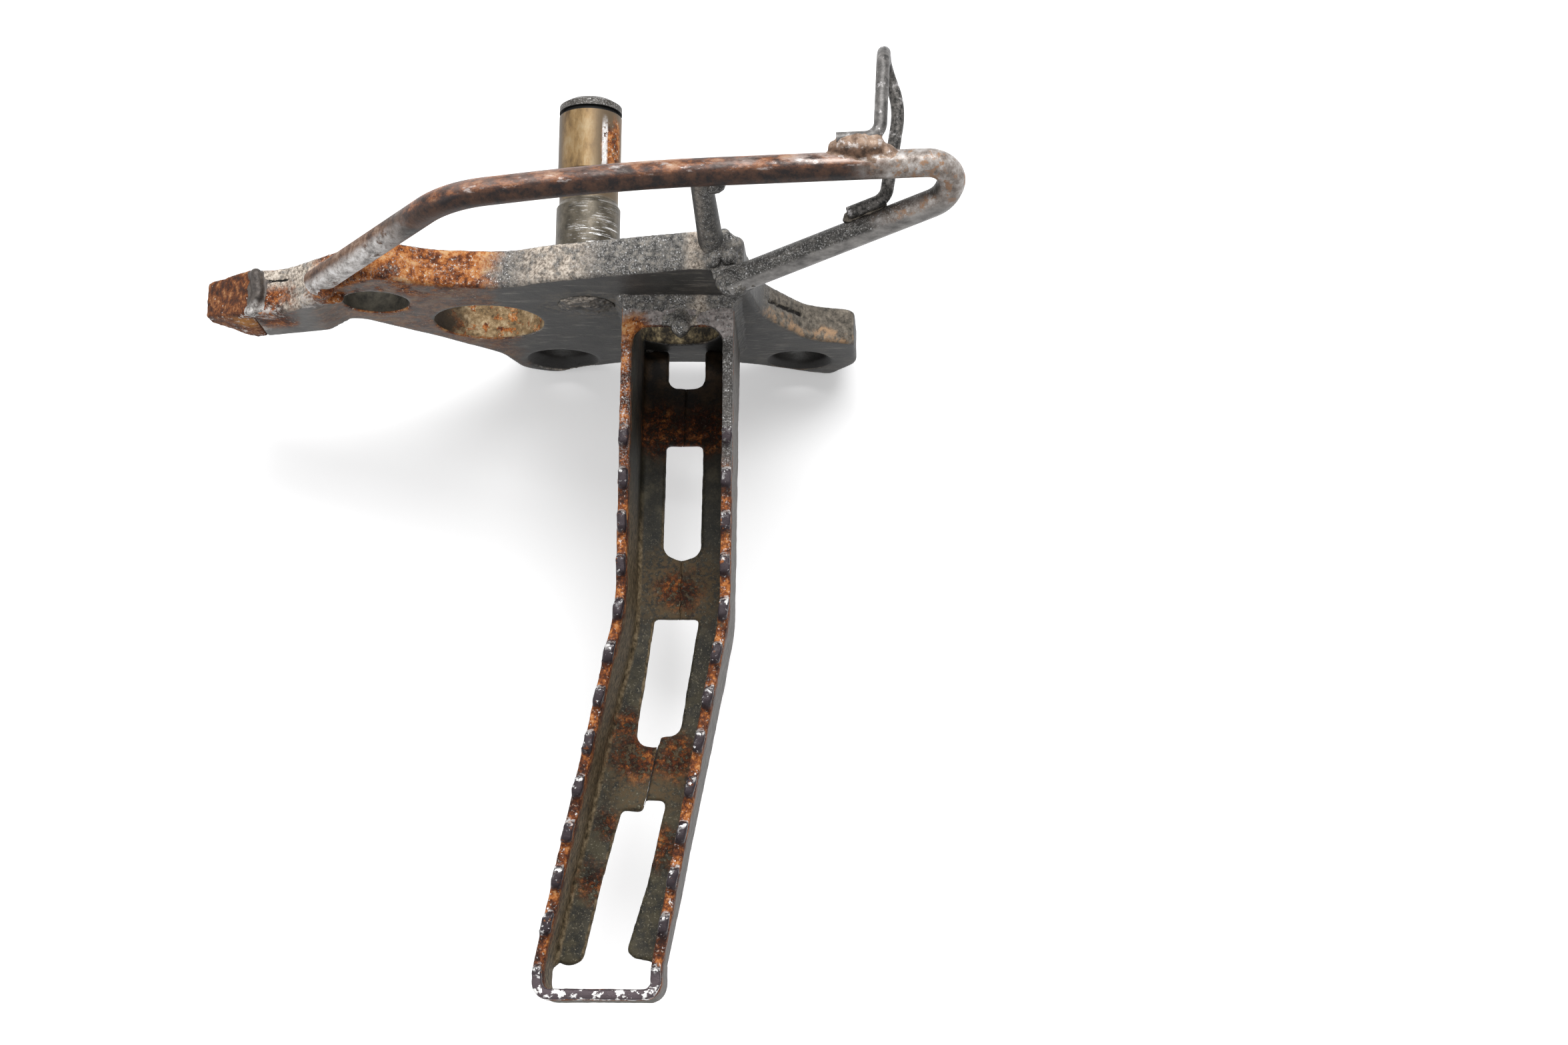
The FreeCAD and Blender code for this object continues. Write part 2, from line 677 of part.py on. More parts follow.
def guard_welds(plate, hoop, stay, guide):
    """Welds that hold the guard, its stay and the guide."""
    welds = {}
    foot, shoulder = guard_line()[0][0], guard_line()[1][0]
    rising = unit(foot, shoulder)
    for name, side in (("weld_guard_arm_front", -3.3), ("weld_guard_arm_rear", 3.6)):
        centre = foot.add(Vector(rising).multiply(3.6)).add(Vector(0.8, side, -2.6))
        welds[name] = clear_of(blob(centre, rising, 2.6 * guard_foot_weld, guard_foot_weld),
                               plate, hoop)
    end, turn = guard_line()[-1][0], guard_line()[-2][0]
    patch = blob(end.add(unit(end, turn)).add(Vector(-1.0, 2.4, -2.4)), unit(end, turn),
                 1.7 * guard_head_weld, guard_head_weld)
    welds["weld_guard_head"] = clear_of(patch, plate, hoop, stay)
    foot, head = stay_line()
    mound = Vector(plate_right - 7.0, front / 2, plate_top - 2.3)
    collar = blob(mound, Vector(1, 0, -0.12), 1.8 * stay_foot_weld, stay_foot_weld)
    welds["weld_stay_foot"] = clear_of(collar, plate, hoop, stay, welds["weld_guard_head"])
    under_rod = unit(head, foot).multiply(rod / 2 + stay_head_weld_drop)
    tip = blob(head.add(under_rod), Vector(1, 0, 0), 2.3 * stay_head_weld, stay_head_weld)
    welds["weld_stay_head"] = clear_of(tip, hoop, stay)
    wire_foot, turn = wire_line()[0][0], wire_line()[1][0]
    patch = blob(point_on(wire_foot, turn, 0.55).add(Vector(0, -2.6, -0.6)),
                 unit(wire_foot, turn), 2.65 * guide_upper_weld, guide_upper_weld)
    welds["weld_guide_upper"] = clear_of(patch, hoop, guide)
    wire_end, turn = wire_line()[-1][0], wire_line()[-2][0]
    patch = blob(point_on(wire_end, turn, 0.45).add(Vector(0, -1.2, -2.0)),
                 unit(wire_end, turn), 2.7 * guide_lower_weld, guide_lower_weld)
    welds["weld_guide_lower"] = clear_of(patch, hoop, guide)
    return welds


def build():
    plate = mounting_plate()
    lug = arm_stop_lug()
    channel = peg_channel()
    shaft = pivot_shaft()
    hoop = heel_guard_hoop()
    stay = guard_stay(plate, hoop)
    guide = hose_guide_loop()
    nodes = {
        "mounting_plate": plate,
        "arm_stop_lug": lug,
        "peg_channel": channel,
        "pivot_shaft": shaft,
        "heel_guard_hoop": hoop,
        "guard_stay": stay,
        "hose_guide_loop": guide,
    }
    nodes.update(seam_welds(plate, lug, channel))
    nodes.update(guard_welds(plate, hoop, stay, guide))
    for name, shape in nodes.items():
        shape.exportStep("parts/" + name + ".step")
        print(name, shape.isValid(), len(shape.Solids), round(shape.Volume, 1))


build()
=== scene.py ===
import math

import bmesh
import bpy
from mathutils import Matrix, Vector, noise


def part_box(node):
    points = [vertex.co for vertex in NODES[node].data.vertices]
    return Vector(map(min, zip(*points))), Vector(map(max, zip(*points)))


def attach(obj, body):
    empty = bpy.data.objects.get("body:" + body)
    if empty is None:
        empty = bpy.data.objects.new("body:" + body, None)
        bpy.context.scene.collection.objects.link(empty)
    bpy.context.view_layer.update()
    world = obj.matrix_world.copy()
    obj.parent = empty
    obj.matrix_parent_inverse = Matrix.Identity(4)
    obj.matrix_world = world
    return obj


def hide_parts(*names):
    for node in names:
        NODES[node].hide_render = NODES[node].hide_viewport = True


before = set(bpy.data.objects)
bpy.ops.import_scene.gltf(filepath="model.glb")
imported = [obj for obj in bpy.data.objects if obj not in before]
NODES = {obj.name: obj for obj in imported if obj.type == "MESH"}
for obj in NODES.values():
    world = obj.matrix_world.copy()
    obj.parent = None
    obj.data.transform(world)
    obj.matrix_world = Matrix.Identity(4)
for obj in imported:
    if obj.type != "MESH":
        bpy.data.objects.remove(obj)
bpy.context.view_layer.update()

MM = 0.001

# Camera
IMAGE_WIDTH = 2352
FOCAL_PIXELS = 3770.0
EYE = Vector((43.9, -212.6, 688.7)) * MM
LOOK = Vector((-0.0202, 0.2199, -0.9753))
RIGHT = Vector((0.9998, 0.0069, -0.0191))

# Plate: y of its front and of the welds on it, and its holes, all in millimetres as below
PLATE_FRONT = -10.0
CHANNEL_WELDS = -9.9
BOLT_BORES = ((-33.7, -5, 0), (33.7, -5, 0))
ARM_HOLE = (-77.8, -6, 54)
WINDOW = (-50, -5, 36.3)
ROOT_HOLE = (0.5, -5, 27)
SHAFT_WELD = (-22.2, -10, 52.0)

# Channel: level of its rims, x of its walls at the plate, its middle line, which leans left past
# the bend, and the underside of its floor, which rises towards the tip
RIM_LEVEL = 58.2
WALLS = (-12.2, 17.2)
SHEET = 2.7
MIDDLE = 2.5
BEND = 82.0
DRIFT = 17.2 / 91.0
FLOOR_UNDERSIDE = 7.2
FLOOR_RISE = 0.1598

# Seams in its floor: place right of the middle, nearest and furthest distance from the plate,
# half the width
SEAMS = ((-0.2, 11.4, 28.8, 0.14), (-0.2, 62.4, 79.3, 0.14), (1.1, 114.2, 129.2, 0.30))
SEAM_SLANT = 0.35

# Cracks: axis they run along, its span, axis across, place across at both ends
EAR_CRACK = (0, 23.0, 34.5, 1, -4.9, -4.0)
ARM_CRACK = (0, -108.4, -101.4, 1, -3.2, -3.6)
LUG_CRACK = (1, -11.8, -3.4, 0, -109.2, -108.1)
CRACK_DEPTHS = ((ARM_CRACK, 0.4), (LUG_CRACK, 0.4), (EAR_CRACK, 0.7))
CRACK_WIDTH = 0.5

# Voxels that the skins are drawn with, and how a weld's skin runs on beside the weld: how far,
# how deep under its hosts' skins, and where it sinks to that depth
PLATE_VOXEL = 0.57
LUG_VOXEL = 0.45
CHANNEL_VOXEL = 0.66
WELD_VOXEL = 0.36
WELD_MARGIN = 2.2
WELD_SUNK = 0.16
WELD_FADE_START = 0.4
WELD_FADE_END = 1.5

# Colours that several finishes share, linear, and how strongly all of them shine
FLECK = (0.62, 0.62, 0.62)
RUST_DARK = (0.030, 0.012, 0.008)
RUST_MID = (0.16, 0.046, 0.015)
RUST_BRIGHT = (0.46, 0.155, 0.036)
RUST_TAN = (0.66, 0.38, 0.175)
BARE_AND_HIGHLIGHT = (0.78, 0.77, 0.76)
GLOSS = 0.3

# Studio: the floor and the world as they are seen, and as they light the part
FLOOR_SEEN = (0.88, 0.88, 0.885, 1)
FLOOR_GLOW = 0.32
FLOOR_LIT = (0.55, 0.55, 0.55, 1)
FLOOR_DROP = 0.2
WORLD_SEEN = 1.0
WORLD_LIT = 0.42
AIM = (0, -0.05, 0)


def floor_top(y):
    """Level of the channel's floor at a place in front of the plate."""
    return FLOOR_UNDERSIDE + SHEET + FLOOR_RISE * (PLATE_FRONT - y)


class Finish:
    """Node graph of one material: a ground colour, then coats over parts of the piece."""

    def __init__(self, name, rough, metal=0.0):
        self.material = bpy.data.materials.new(name)
        self.material.use_nodes = True
        self.tree = self.material.node_tree
        self.shader = self.tree.nodes["Principled BSDF"]
        self.shader.inputs["Specular IOR Level"].default_value = GLOSS
        geometry = self.tree.nodes.new("ShaderNodeNewGeometry")
        self.normal = geometry.outputs["Normal"]
        self.place = self.vector("SCALE", geometry.outputs["Position"], scale=1 / MM)
        self.colour = None
        self.rough = rough
        self.metal = metal
        self.height = 0.0

    def feed(self, socket, value):
        """Links a node's output to a socket, or sets the socket to a number or colour."""
        if isinstance(value, bpy.types.NodeSocket):
            self.tree.links.new(value, socket)
        elif isinstance(value, tuple) and len(value) == 3 and socket.type == "RGBA":
            socket.default_value = (*value, 1.0)
        else:
            socket.default_value = value

    def vector(self, operation, *values, scale=None):
        node = self.tree.nodes.new("ShaderNodeVectorMath")
        node.operation = operation
        for socket, value in zip(node.inputs, values):
            self.feed(socket, value)
        if scale is not None:
            node.inputs["Scale"].default_value = scale
        result = "Value" if operation in ("DISTANCE", "DOT_PRODUCT", "LENGTH") else "Vector"
        return node.outputs[result]

    def math(self, operation, *values):
        node = self.tree.nodes.new("ShaderNodeMath")
        node.operation = operation
        for socket, value in zip(node.inputs, values):
            self.feed(socket, value)
        return node.outputs[0]

    def both(self, *masks):
        """Where all the masks hold."""
        total = masks[0]
        for mask in masks[1:]:
            total = self.math("MULTIPLY", total, mask)
        return total

    def either(self, *masks):
        """Where any of the masks holds."""
        total = masks[0]
        for mask in masks[1:]:
            total = self.math("MAXIMUM", total, mask)
        return total

    def outside(self, mask):
        """Where the mask doesn't hold."""
        return self.math("SUBTRACT", 1.0, mask)

    def smooth(self, value, low, high, to_low=0.0, to_high=1.0):
        """Smooth step from to_low at low to to_high at high; low may be the larger."""
        node = self.tree.nodes.new("ShaderNodeMapRange")
        node.interpolation_type = "SMOOTHSTEP"
        if low > high:
            low, high, to_low, to_high = high, low, to_high, to_low
        for socket, number in zip(node.inputs[:5], (value, low, high, to_low, to_high)):
            self.feed(socket, number)
        return node.outputs["Result"]

    def noise(self, size, detail=4.0, rough=0.6, shift=0.0, stretch=None):
        """Noise from 0 to 1 whose features are about size millimetres across."""
        at = self.place
        if stretch:
            at = self.vector("MULTIPLY", at, stretch)
        if shift:
            at = self.vector("ADD", at, (shift, 1.7 * shift, -0.6 * shift))
        node = self.tree.nodes.new("ShaderNodeTexNoise")
        self.feed(node.inputs["Vector"], at)
        node.inputs["Scale"].default_value = 1 / size
        node.inputs["Detail"].default_value = detail
        node.inputs["Roughness"].default_value = rough
        return node.outputs[0]

    def patches(self, low, high, *grain):
        """Patches of noise, 0 below low and 1 above high; the rest is what noise() takes."""
        return self.smooth(self.noise(*grain), low, high)

    def flecks(self, size, share, shift):
        """Small round spots in a share of the cells of a random grid."""
        node = self.tree.nodes.new("ShaderNodeTexVoronoi")
        at = self.vector("ADD", self.place, (shift, -shift, 2 * shift))
        self.feed(node.inputs["Vector"], at)
        node.inputs["Scale"].default_value = 1 / size
        split = self.tree.nodes.new("ShaderNodeSeparateColor")
        self.feed(split.inputs[0], node.outputs["Color"])
        reach = self.math("MULTIPLY", split.outputs[1], 0.42)
        spot = self.math("SUBTRACT", reach, node.outputs["Distance"])
        chosen = self.math("LESS_THAN", split.outputs[0], share)
        return self.both(self.smooth(spot, -0.02, 0.08), chosen)

    def axis(self, index, place=None):
        """X, Y or Z of the place, in millimetres."""
        node = self.tree.nodes.new("ShaderNodeSeparateXYZ")
        self.feed(node.inputs[0], place or self.place)
        return node.outputs[index]

    def wobbly(self, size, reach, shift=0.0):
        """The place, pushed about by up to reach millimetres, for ragged borders."""
        node = self.tree.nodes.new("ShaderNodeTexNoise")
        at = self.vector("ADD", self.place, (shift, shift, shift))
        self.feed(node.inputs["Vector"], at)
        node.inputs["Scale"].default_value = 1 / size
        node.inputs["Detail"].default_value = 5.0
        node.inputs["Roughness"].default_value = 0.65
        centred = self.vector("SUBTRACT", node.outputs["Color"], (0.5, 0.5, 0.5))
        return self.vector("ADD", self.place, self.vector("SCALE", centred, scale=2 * reach))

    def near(self, point, radius, soft, place=None):
        """Ball round a point with a soft border."""
        distance = self.vector("DISTANCE", place or self.place, point)
        return self.smooth(distance, radius + soft, radius - soft)

    def band(self, index, low, high, soft, place=None):
        """Slab across one axis with soft borders."""
        value = self.axis(index, place)
        rising = self.smooth(value, low - soft, low + soft)
        return self.both(rising, self.smooth(value, high + soft, high - soft))

    def facing(self, direction, low, high):
        """Where the surface looks along a direction: 0 below low and 1 above high."""
        return self.smooth(self.vector("DOT_PRODUCT", self.normal, direction), low, high)

    def from_middle(self):
        """Distance to the right of the channel's middle line, which leans left past its bend."""
        past = self.math("MAXIMUM", self.math("SUBTRACT", PLATE_FRONT - BEND, self.axis(1)), 0.0)
        leaned = self.math("MULTIPLY_ADD", past, DRIFT, self.axis(0))
        return self.math("SUBTRACT", leaned, MIDDLE)

    def ramp(self, value, *stops):
        """Colour that follows a value through stops of (value, colour)."""
        node = self.tree.nodes.new("ShaderNodeValToRGB")
        elements = node.color_ramp.elements
        while len(elements) < len(stops):
            elements.new(0.5)
        for element, (position, colour) in zip(elements, stops):
            element.position = position
            element.color = (*colour, 1.0)
        self.feed(node.inputs[0], value)
        return node.outputs[0]

    def blend(self, share, low, high, kind="RGBA"):
        """Low where the share is 0 and high where it is 1, as colours or as numbers."""
        node = self.tree.nodes.new("ShaderNodeMix")
        node.data_type = kind
        a, b, out = (6, 7, 2) if kind == "RGBA" else (2, 3, 0)
        self.feed(node.inputs[0], share)
        self.feed(node.inputs[a], low)
        self.feed(node.inputs[b], high)
        return node.outputs[out]

    def coat(self, cover, colour, rough=None, metal=None, lift=0.0):
        """Lays a coat where cover holds; lift is its thickness in millimetres."""
        self.colour = self.blend(cover, self.colour, colour)
        if rough is not None:
            self.rough = self.blend(cover, self.rough, rough, "FLOAT")
        if metal is not None:
            self.metal = self.blend(cover, self.metal, metal, "FLOAT")
        if lift:
            self.raise_by(cover, lift)

    def raise_by(self, share, amount):
        """Lifts the relief by amount millimetres where the share is 1."""
        step = self.math("MULTIPLY", share, amount)
        self.height = self.math("ADD", self.height, step)

    def rust(self, cover, shift=0.0, grain=1.6, pale=0.0, chipped=1.0):
        """Flaky rust with dark pits, tan bloom and pale flecks where cover holds."""
        fine = self.math("MULTIPLY", self.noise(grain, 6.0, 0.75, shift), 0.66)
        broad = self.math("MULTIPLY", self.noise(4.5, 3.0, 0.6, shift + 2), 0.55)
        grains = self.math("ADD", self.math("ADD", fine, broad), pale - 0.105)
        colours = self.ramp(grains, (0.38, RUST_DARK), (0.48, RUST_MID), (0.56, RUST_BRIGHT),
                            (0.66, RUST_TAN))
        self.coat(cover, colours, 0.85, 0.0)
        self.raise_by(self.both(cover, grains), 0.25)
        chips = self.patches(0.60, 0.67, 0.8, 4.0, 0.6, shift + 4)
        self.coat(self.both(cover, chips, chipped), (0.66, 0.56, 0.47), 0.6)

    def bare(self, cover, rough=0.36):
        """Metal worn bright where cover holds; on the tread's crests and tip and along the shaft it is
        also a painted highlight.
        """
        self.coat(cover, BARE_AND_HIGHLIGHT, rough, 0.85, -0.02)

    def speckle(self, cover, shift, strength):
        """Dense fine flecks of worn paint, thickened and thinned by a slow noise."""
        slow = self.smooth(self.noise(5.0, 3.0, 0.6, shift + 3), 0.35, 0.62, 0.45, 1.0)
        fine = self.patches(0.50, 0.66, 0.42, 2.0, 0.6, shift + 5)
        spark = self.flecks(0.6, 0.35, shift + 11)
        self.coat(self.both(cover, fine, slow, strength), (0.38, 0.37, 0.36), 0.5, 0.2)
        self.coat(self.both(cover, spark, slow, strength), FLECK, 0.35, 0.4)

    def crack(self, line, width):
        """Thin dark crack on the upper faces, along one axis and slanting across another."""
        along, start, end, across, at_start, at_end = line
        place = self.wobbly(1.6, 0.45, 2)
        slope = (at_end - at_start) / (end - start)
        middle = self.math("MULTIPLY_ADD", self.axis(along), slope, at_start - slope * start)
        gap = self.math("ABSOLUTE", self.math("SUBTRACT", self.axis(across, place), middle))
        cover = self.both(self.smooth(gap, 1.9 * width, 0.7 * width), self.band(along, start, end, 0.5),
                          self.facing((0, 0, 1), 0.3, 0.5))
        self.coat(cover, (0.005, 0.004, 0.003), 0.9, 0.0, -0.4)

    def done(self):
        """Joins the coats to the shader and returns the material."""
        bump = self.tree.nodes.new("ShaderNodeBump")
        bump.inputs["Strength"].default_value = 1.0
        bump.inputs["Distance"].default_value = MM
        self.feed(bump.inputs["Height"], self.height)
        self.feed(self.shader.inputs["Base Color"], self.colour)
        self.feed(self.shader.inputs["Roughness"], self.rough)
        self.feed(self.shader.inputs["Metallic"], self.metal)
        self.feed(self.shader.inputs["Normal"], bump.outputs[0])
        return self.material


def bracket_finish():
    """Weathered dark paint with dense worn flecks, rust on the arm and dirt in the bores."""
    f = Finish("weathered_bracket", 0.5)
    x = f.axis(0)
    up = f.facing((0, -0.15, 1), 0.22, 0.55)
    side = f.outside(up)
    dark = f.ramp(f.noise(9.0, 6.0, 0.62), (0.30, (0.012, 0.012, 0.012)),
                  (0.52, (0.032, 0.031, 0.029)), (0.75, (0.075, 0.068, 0.058)))
    worn = f.ramp(f.noise(6.0, 6.0, 0.62, 3), (0.30, (0.052, 0.048, 0.044)),
                  (0.55, (0.105, 0.098, 0.09)), (0.75, (0.17, 0.155, 0.14)))
    f.colour = f.blend(f.smooth(x, -38, -72), dark, worn)
    f.raise_by(f.noise(1.1, 5.0, 0.6, 7), 0.10)
    f.raise_by(f.noise(0.35, 3.0, 0.6, 8), 0.05)
    rubbed = f.patches(0.56, 0.66, 2.5, 6, 0.7, 11, (0.25, 1, 1.6))
    f.coat(f.both(side, rubbed), (0.13, 0.12, 0.105), 0.45)

    base = f.ramp(f.noise(1.5, 6.0, 0.75, 21), (0.38, (0.032, 0.031, 0.030)),
                  (0.50, (0.12, 0.116, 0.108)), (0.62, (0.30, 0.275, 0.24)))
    f.coat(up, base, 0.6)
    f.speckle(up, 1, 1.0)
    dusty = f.either(f.band(0, -38, -20, 5), f.band(0, 6, 10.5, 1.5))
    beige = f.ramp(f.noise(0.9, 5, 0.7, 26), (0.38, (0.14, 0.12, 0.10)), (0.5, (0.47, 0.40, 0.33)),
                   (0.60, (0.74, 0.66, 0.57)))
    f.coat(f.both(up, dusty, f.patches(0.34, 0.56, 3.0, 6, 0.7, 25)), beige, 0.8)

    ragged = f.wobbly(8.0, 7.0)
    ear = f.both(up, f.band(0, 21, 60, 2))
    f.coat(ear, f.ramp(f.noise(1.6, 6, 0.72, 31), (0.36, (0.045, 0.040, 0.033)),
                       (0.52, (0.15, 0.13, 0.105)), (0.66, (0.27, 0.235, 0.19))), 0.8)
    fringe = f.both(f.band(0, 21, 52, 2), f.band(1, -10.6, -7.2, 1.2, ragged), up)
    f.coat(f.both(fringe, f.patches(0.42, 0.6, 3.0, 6, 0.7, 35)), (0.42, 0.27, 0.16), 0.85)

    arm_coats(f, up, side, beige, ragged)
    hole_coats(f, ragged)
    front_marks(f, side, ragged)
    return f.done()


def arm_coats(f, up, side, beige, ragged):
    """Rust and worn paint on the arm's top and front, with scraped spots."""
    arm = f.both(up, f.band(0, -112, -86, 1.5, ragged))
    f.coat(f.both(arm, f.patches(0.32, 0.52, 3.0, 6, 0.7, 41)), beige, 0.8)
    heel = f.both(f.band(0, -112, -101, 2.5, ragged), f.smooth(f.axis(1), -3.5, -7.0))
    f.rust(f.both(up, heel, f.patches(0.30, 0.42, 3.0, 6, 0.7, 45)), 46, 1.2, -0.04)
    top_rust = f.both(f.facing((0, -0.3, 1), 0.2, 0.5), f.band(0, -93, -46, 3.5, ragged))
    f.rust(f.both(top_rust, f.patches(0.28, 0.40, 7.0, 6, 0.65, 51)), 52, 1.3, 0.035)
    f.speckle(f.both(top_rust, f.patches(0.42, 0.6, 3.0, 5, 0.6, 53)), 54, 0.55)
    lip = f.both(side, f.band(0, -92, -54, 5, ragged), f.band(2, 62, 80, 2.5, ragged))
    f.rust(f.both(lip, f.patches(0.42, 0.58, 5.0, 5, 0.6, 61)), 62, 1.2, -0.03)
    toe = f.both(side, f.band(0, -112, -101, 2.5, ragged), f.band(2, 30, 54, 3, ragged))
    f.rust(f.both(toe, f.smooth(f.axis(2), 36, 45)), 65, 1.4, -0.05)
    for place, radius in (((-107.8, -12.5, 49.5), 2.6), ((-104.5, -12.5, 50.9), 1.8),
                          ((-110.9, -12.5, 38.8), 2.0), ((-94.6, -11.8, 59.6), 3.0),
                          ((-90.5, -11.8, 58.5), 1.8)):
        spot = f.near(place, radius, 0.9, f.wobbly(2.0, 2.2, radius))
        f.coat(f.both(spot, f.patches(0.42, 0.62, 1.0, 5, 0.72, 67)), (0.50, 0.46, 0.43), 0.5, 0.2)


def hole_coats(f, ragged):
    """Dirt and rust inside the plate's holes, painted light and painted shade on the window's walls, and
    near black in the bolt bores.
    """
    walls = f.outside(f.facing((0, -1, 0), 0.5, 0.8))
    hole = f.both(f.near(ARM_HOLE, 10.2, 0.5), walls)
    f.coat(hole, f.ramp(f.noise(3.0, 6, 0.7, 69), (0.35, (0.02, 0.018, 0.014)),
                        (0.65, (0.09, 0.08, 0.06))), 0.8)
    window = f.both(f.near(WINDOW, 15.8, 0.5), walls)
    # Painted light: the window's walls are given a pale lit tan.
    lit = f.ramp(f.noise(3.2, 6, 0.74, 71), (0.36, (0.07, 0.050, 0.028)), (0.5, (0.30, 0.20, 0.10)),
                 (0.64, (0.62, 0.48, 0.30)))
    f.coat(window, lit, 0.85)
    f.rust(f.both(window, f.patches(0.53, 0.60, 3.4, 5, 0.6, 81)), 82, 1.0, 0.04)
    # Painted shade: darker on the window's left side.
    f.coat(f.both(window, f.smooth(f.axis(0, ragged), -54, -63)), (0.035, 0.025, 0.016), 0.85)
    root = f.both(f.near(ROOT_HOLE, 13.5, 0.5), walls)
    f.coat(root, f.ramp(f.noise(3.2, 6, 0.72, 91), (0.42, (0.014, 0.011, 0.007)),
                        (0.53, (0.10, 0.078, 0.045)), (0.64, (0.34, 0.27, 0.15))), 0.85)
    chamfered = f.outside(f.facing((0, -1, 0), 0.9, 0.95))
    for place in BOLT_BORES:
        f.coat(f.both(f.near(place, 11.2, 0.4), chamfered), (0.012, 0.011, 0.010), 0.5)


def front_marks(f, side, ragged):
    """Smears and a pit on the shaft's weld, a spot of dirt on the guard's, and the cracks."""
    swirl = f.both(f.near(SHAFT_WELD, 11.5, 2.0, ragged), side)
    f.coat(f.both(swirl, f.patches(0.45, 0.62, 2.2, 6, 0.7, 95)), (0.13, 0.115, 0.095), 0.6)
    f.coat(f.near((-24.1, -11.2, 53.0), 1.6, 1.2, f.wobbly(1.5, 1.0, 3)), (0.006, 0.006, 0.005), 0.6)
    f.coat(f.near((15.6, -14.5, 82.2), 1.3, 0.3, f.wobbly(1.5, 0.8, 4)), (0.34, 0.31, 0.17), 0.8)
    f.crack(EAR_CRACK, 0.36)
    f.crack(ARM_CRACK, 0.20)
    f.crack(LUG_CRACK, 0.20)


def tread_finish():
    """Dark worn channel: rust along the rims and seams, crests polished by boots, painted shade deep in
    its root and painted highlights on the crests and tip.
    """
    f = Finish("worn_tread", 0.6)
    height = f.axis(2)
    along = f.axis(1)
    f.colour = f.ramp(f.noise(5.0, 6.0, 0.70), (0.34, (0.013, 0.013, 0.010)),
                      (0.52, (0.033, 0.030, 0.021)), (0.68, (0.090, 0.078, 0.050)))
    f.raise_by(f.noise(1.1, 5.0, 0.6, 7), 0.10)
    f.raise_by(f.noise(0.35, 3.0, 0.6, 8), 0.05)
    olive = f.patches(0.44, 0.60, 5.0, 6, 0.7, 5)
    f.coat(f.both(olive, f.smooth(along, -90, -120)), (0.088, 0.076, 0.047), 0.7)
    grit = f.patches(0.57, 0.68, 0.55, 3, 0.6, 3)
    f.coat(f.both(grit, f.smooth(along, -50, -90, 0.15, 0.8)), (0.27, 0.24, 0.17), 0.6)
    # Painted shade: darker low down in the channel near the plate, where less light reaches.
    painted_root_shade = f.both(f.smooth(along, -50, -32), f.smooth(height, 46, 30))
    f.coat(painted_root_shade, f.ramp(f.noise(4.0, 6, 0.7, 4), (0.42, (0.009, 0.006, 0.004)),
                        (0.62, (0.060, 0.036, 0.018))), 0.7)
    inner_left = f.both(f.facing((1, 0, 0.2), 0.4, 0.8), f.smooth(along, -50, -75))
    f.coat(inner_left, f.ramp(f.noise(1.6, 6, 0.7, 6), (0.38, (0.050, 0.038, 0.020)),
                              (0.50, (0.17, 0.125, 0.070)), (0.62, (0.34, 0.26, 0.16))), 0.7)
    for x, y in ((2.4, -81), (-3.6, -132)):
        dust = f.near((x, y, floor_top(y)), 12, 5, f.wobbly(6.0, 5.0, x))
        f.coat(f.both(dust, f.patches(0.40, 0.58, 1.2, 6, 0.72, 8)), (0.13, 0.090, 0.048), 0.8)
    streaks = f.noise(1.7, 6, 0.68, 15, (1, 0.6, 1.3))
    shell = f.both(f.facing((1, -0.1, 0), 0.5, 0.8), f.smooth(f.from_middle(), 9, 11))
    f.coat(shell, f.ramp(streaks, (0.36, (0.036, 0.031, 0.027)), (0.5, (0.075, 0.067, 0.060)),
                         (0.64, (0.15, 0.137, 0.125))), 0.55)
    spots = []
    for x, y, reach in ((-4, -35, 7), (8, -34, 7), (1.8, -81, 5.5), (-7.5, -127, 7), (2.0, -127, 6),
                        (-15, -145, 3), (-18.5, -161, 4), (-1.0, -152, 5), (-11, -118, 3.5)):
        spots.append(f.near((x, y, floor_top(y)), reach, 3.5, f.wobbly(5.0, 5.0, 13)))
    f.rust(f.both(f.either(*spots), f.patches(0.42, 0.52, 1.6, 6, 0.72, 14)), 15, 1.0, -0.055, 0.2)
    rim_coats(f, height, along)
    roof_coats(f, height, along)
    return f.done()


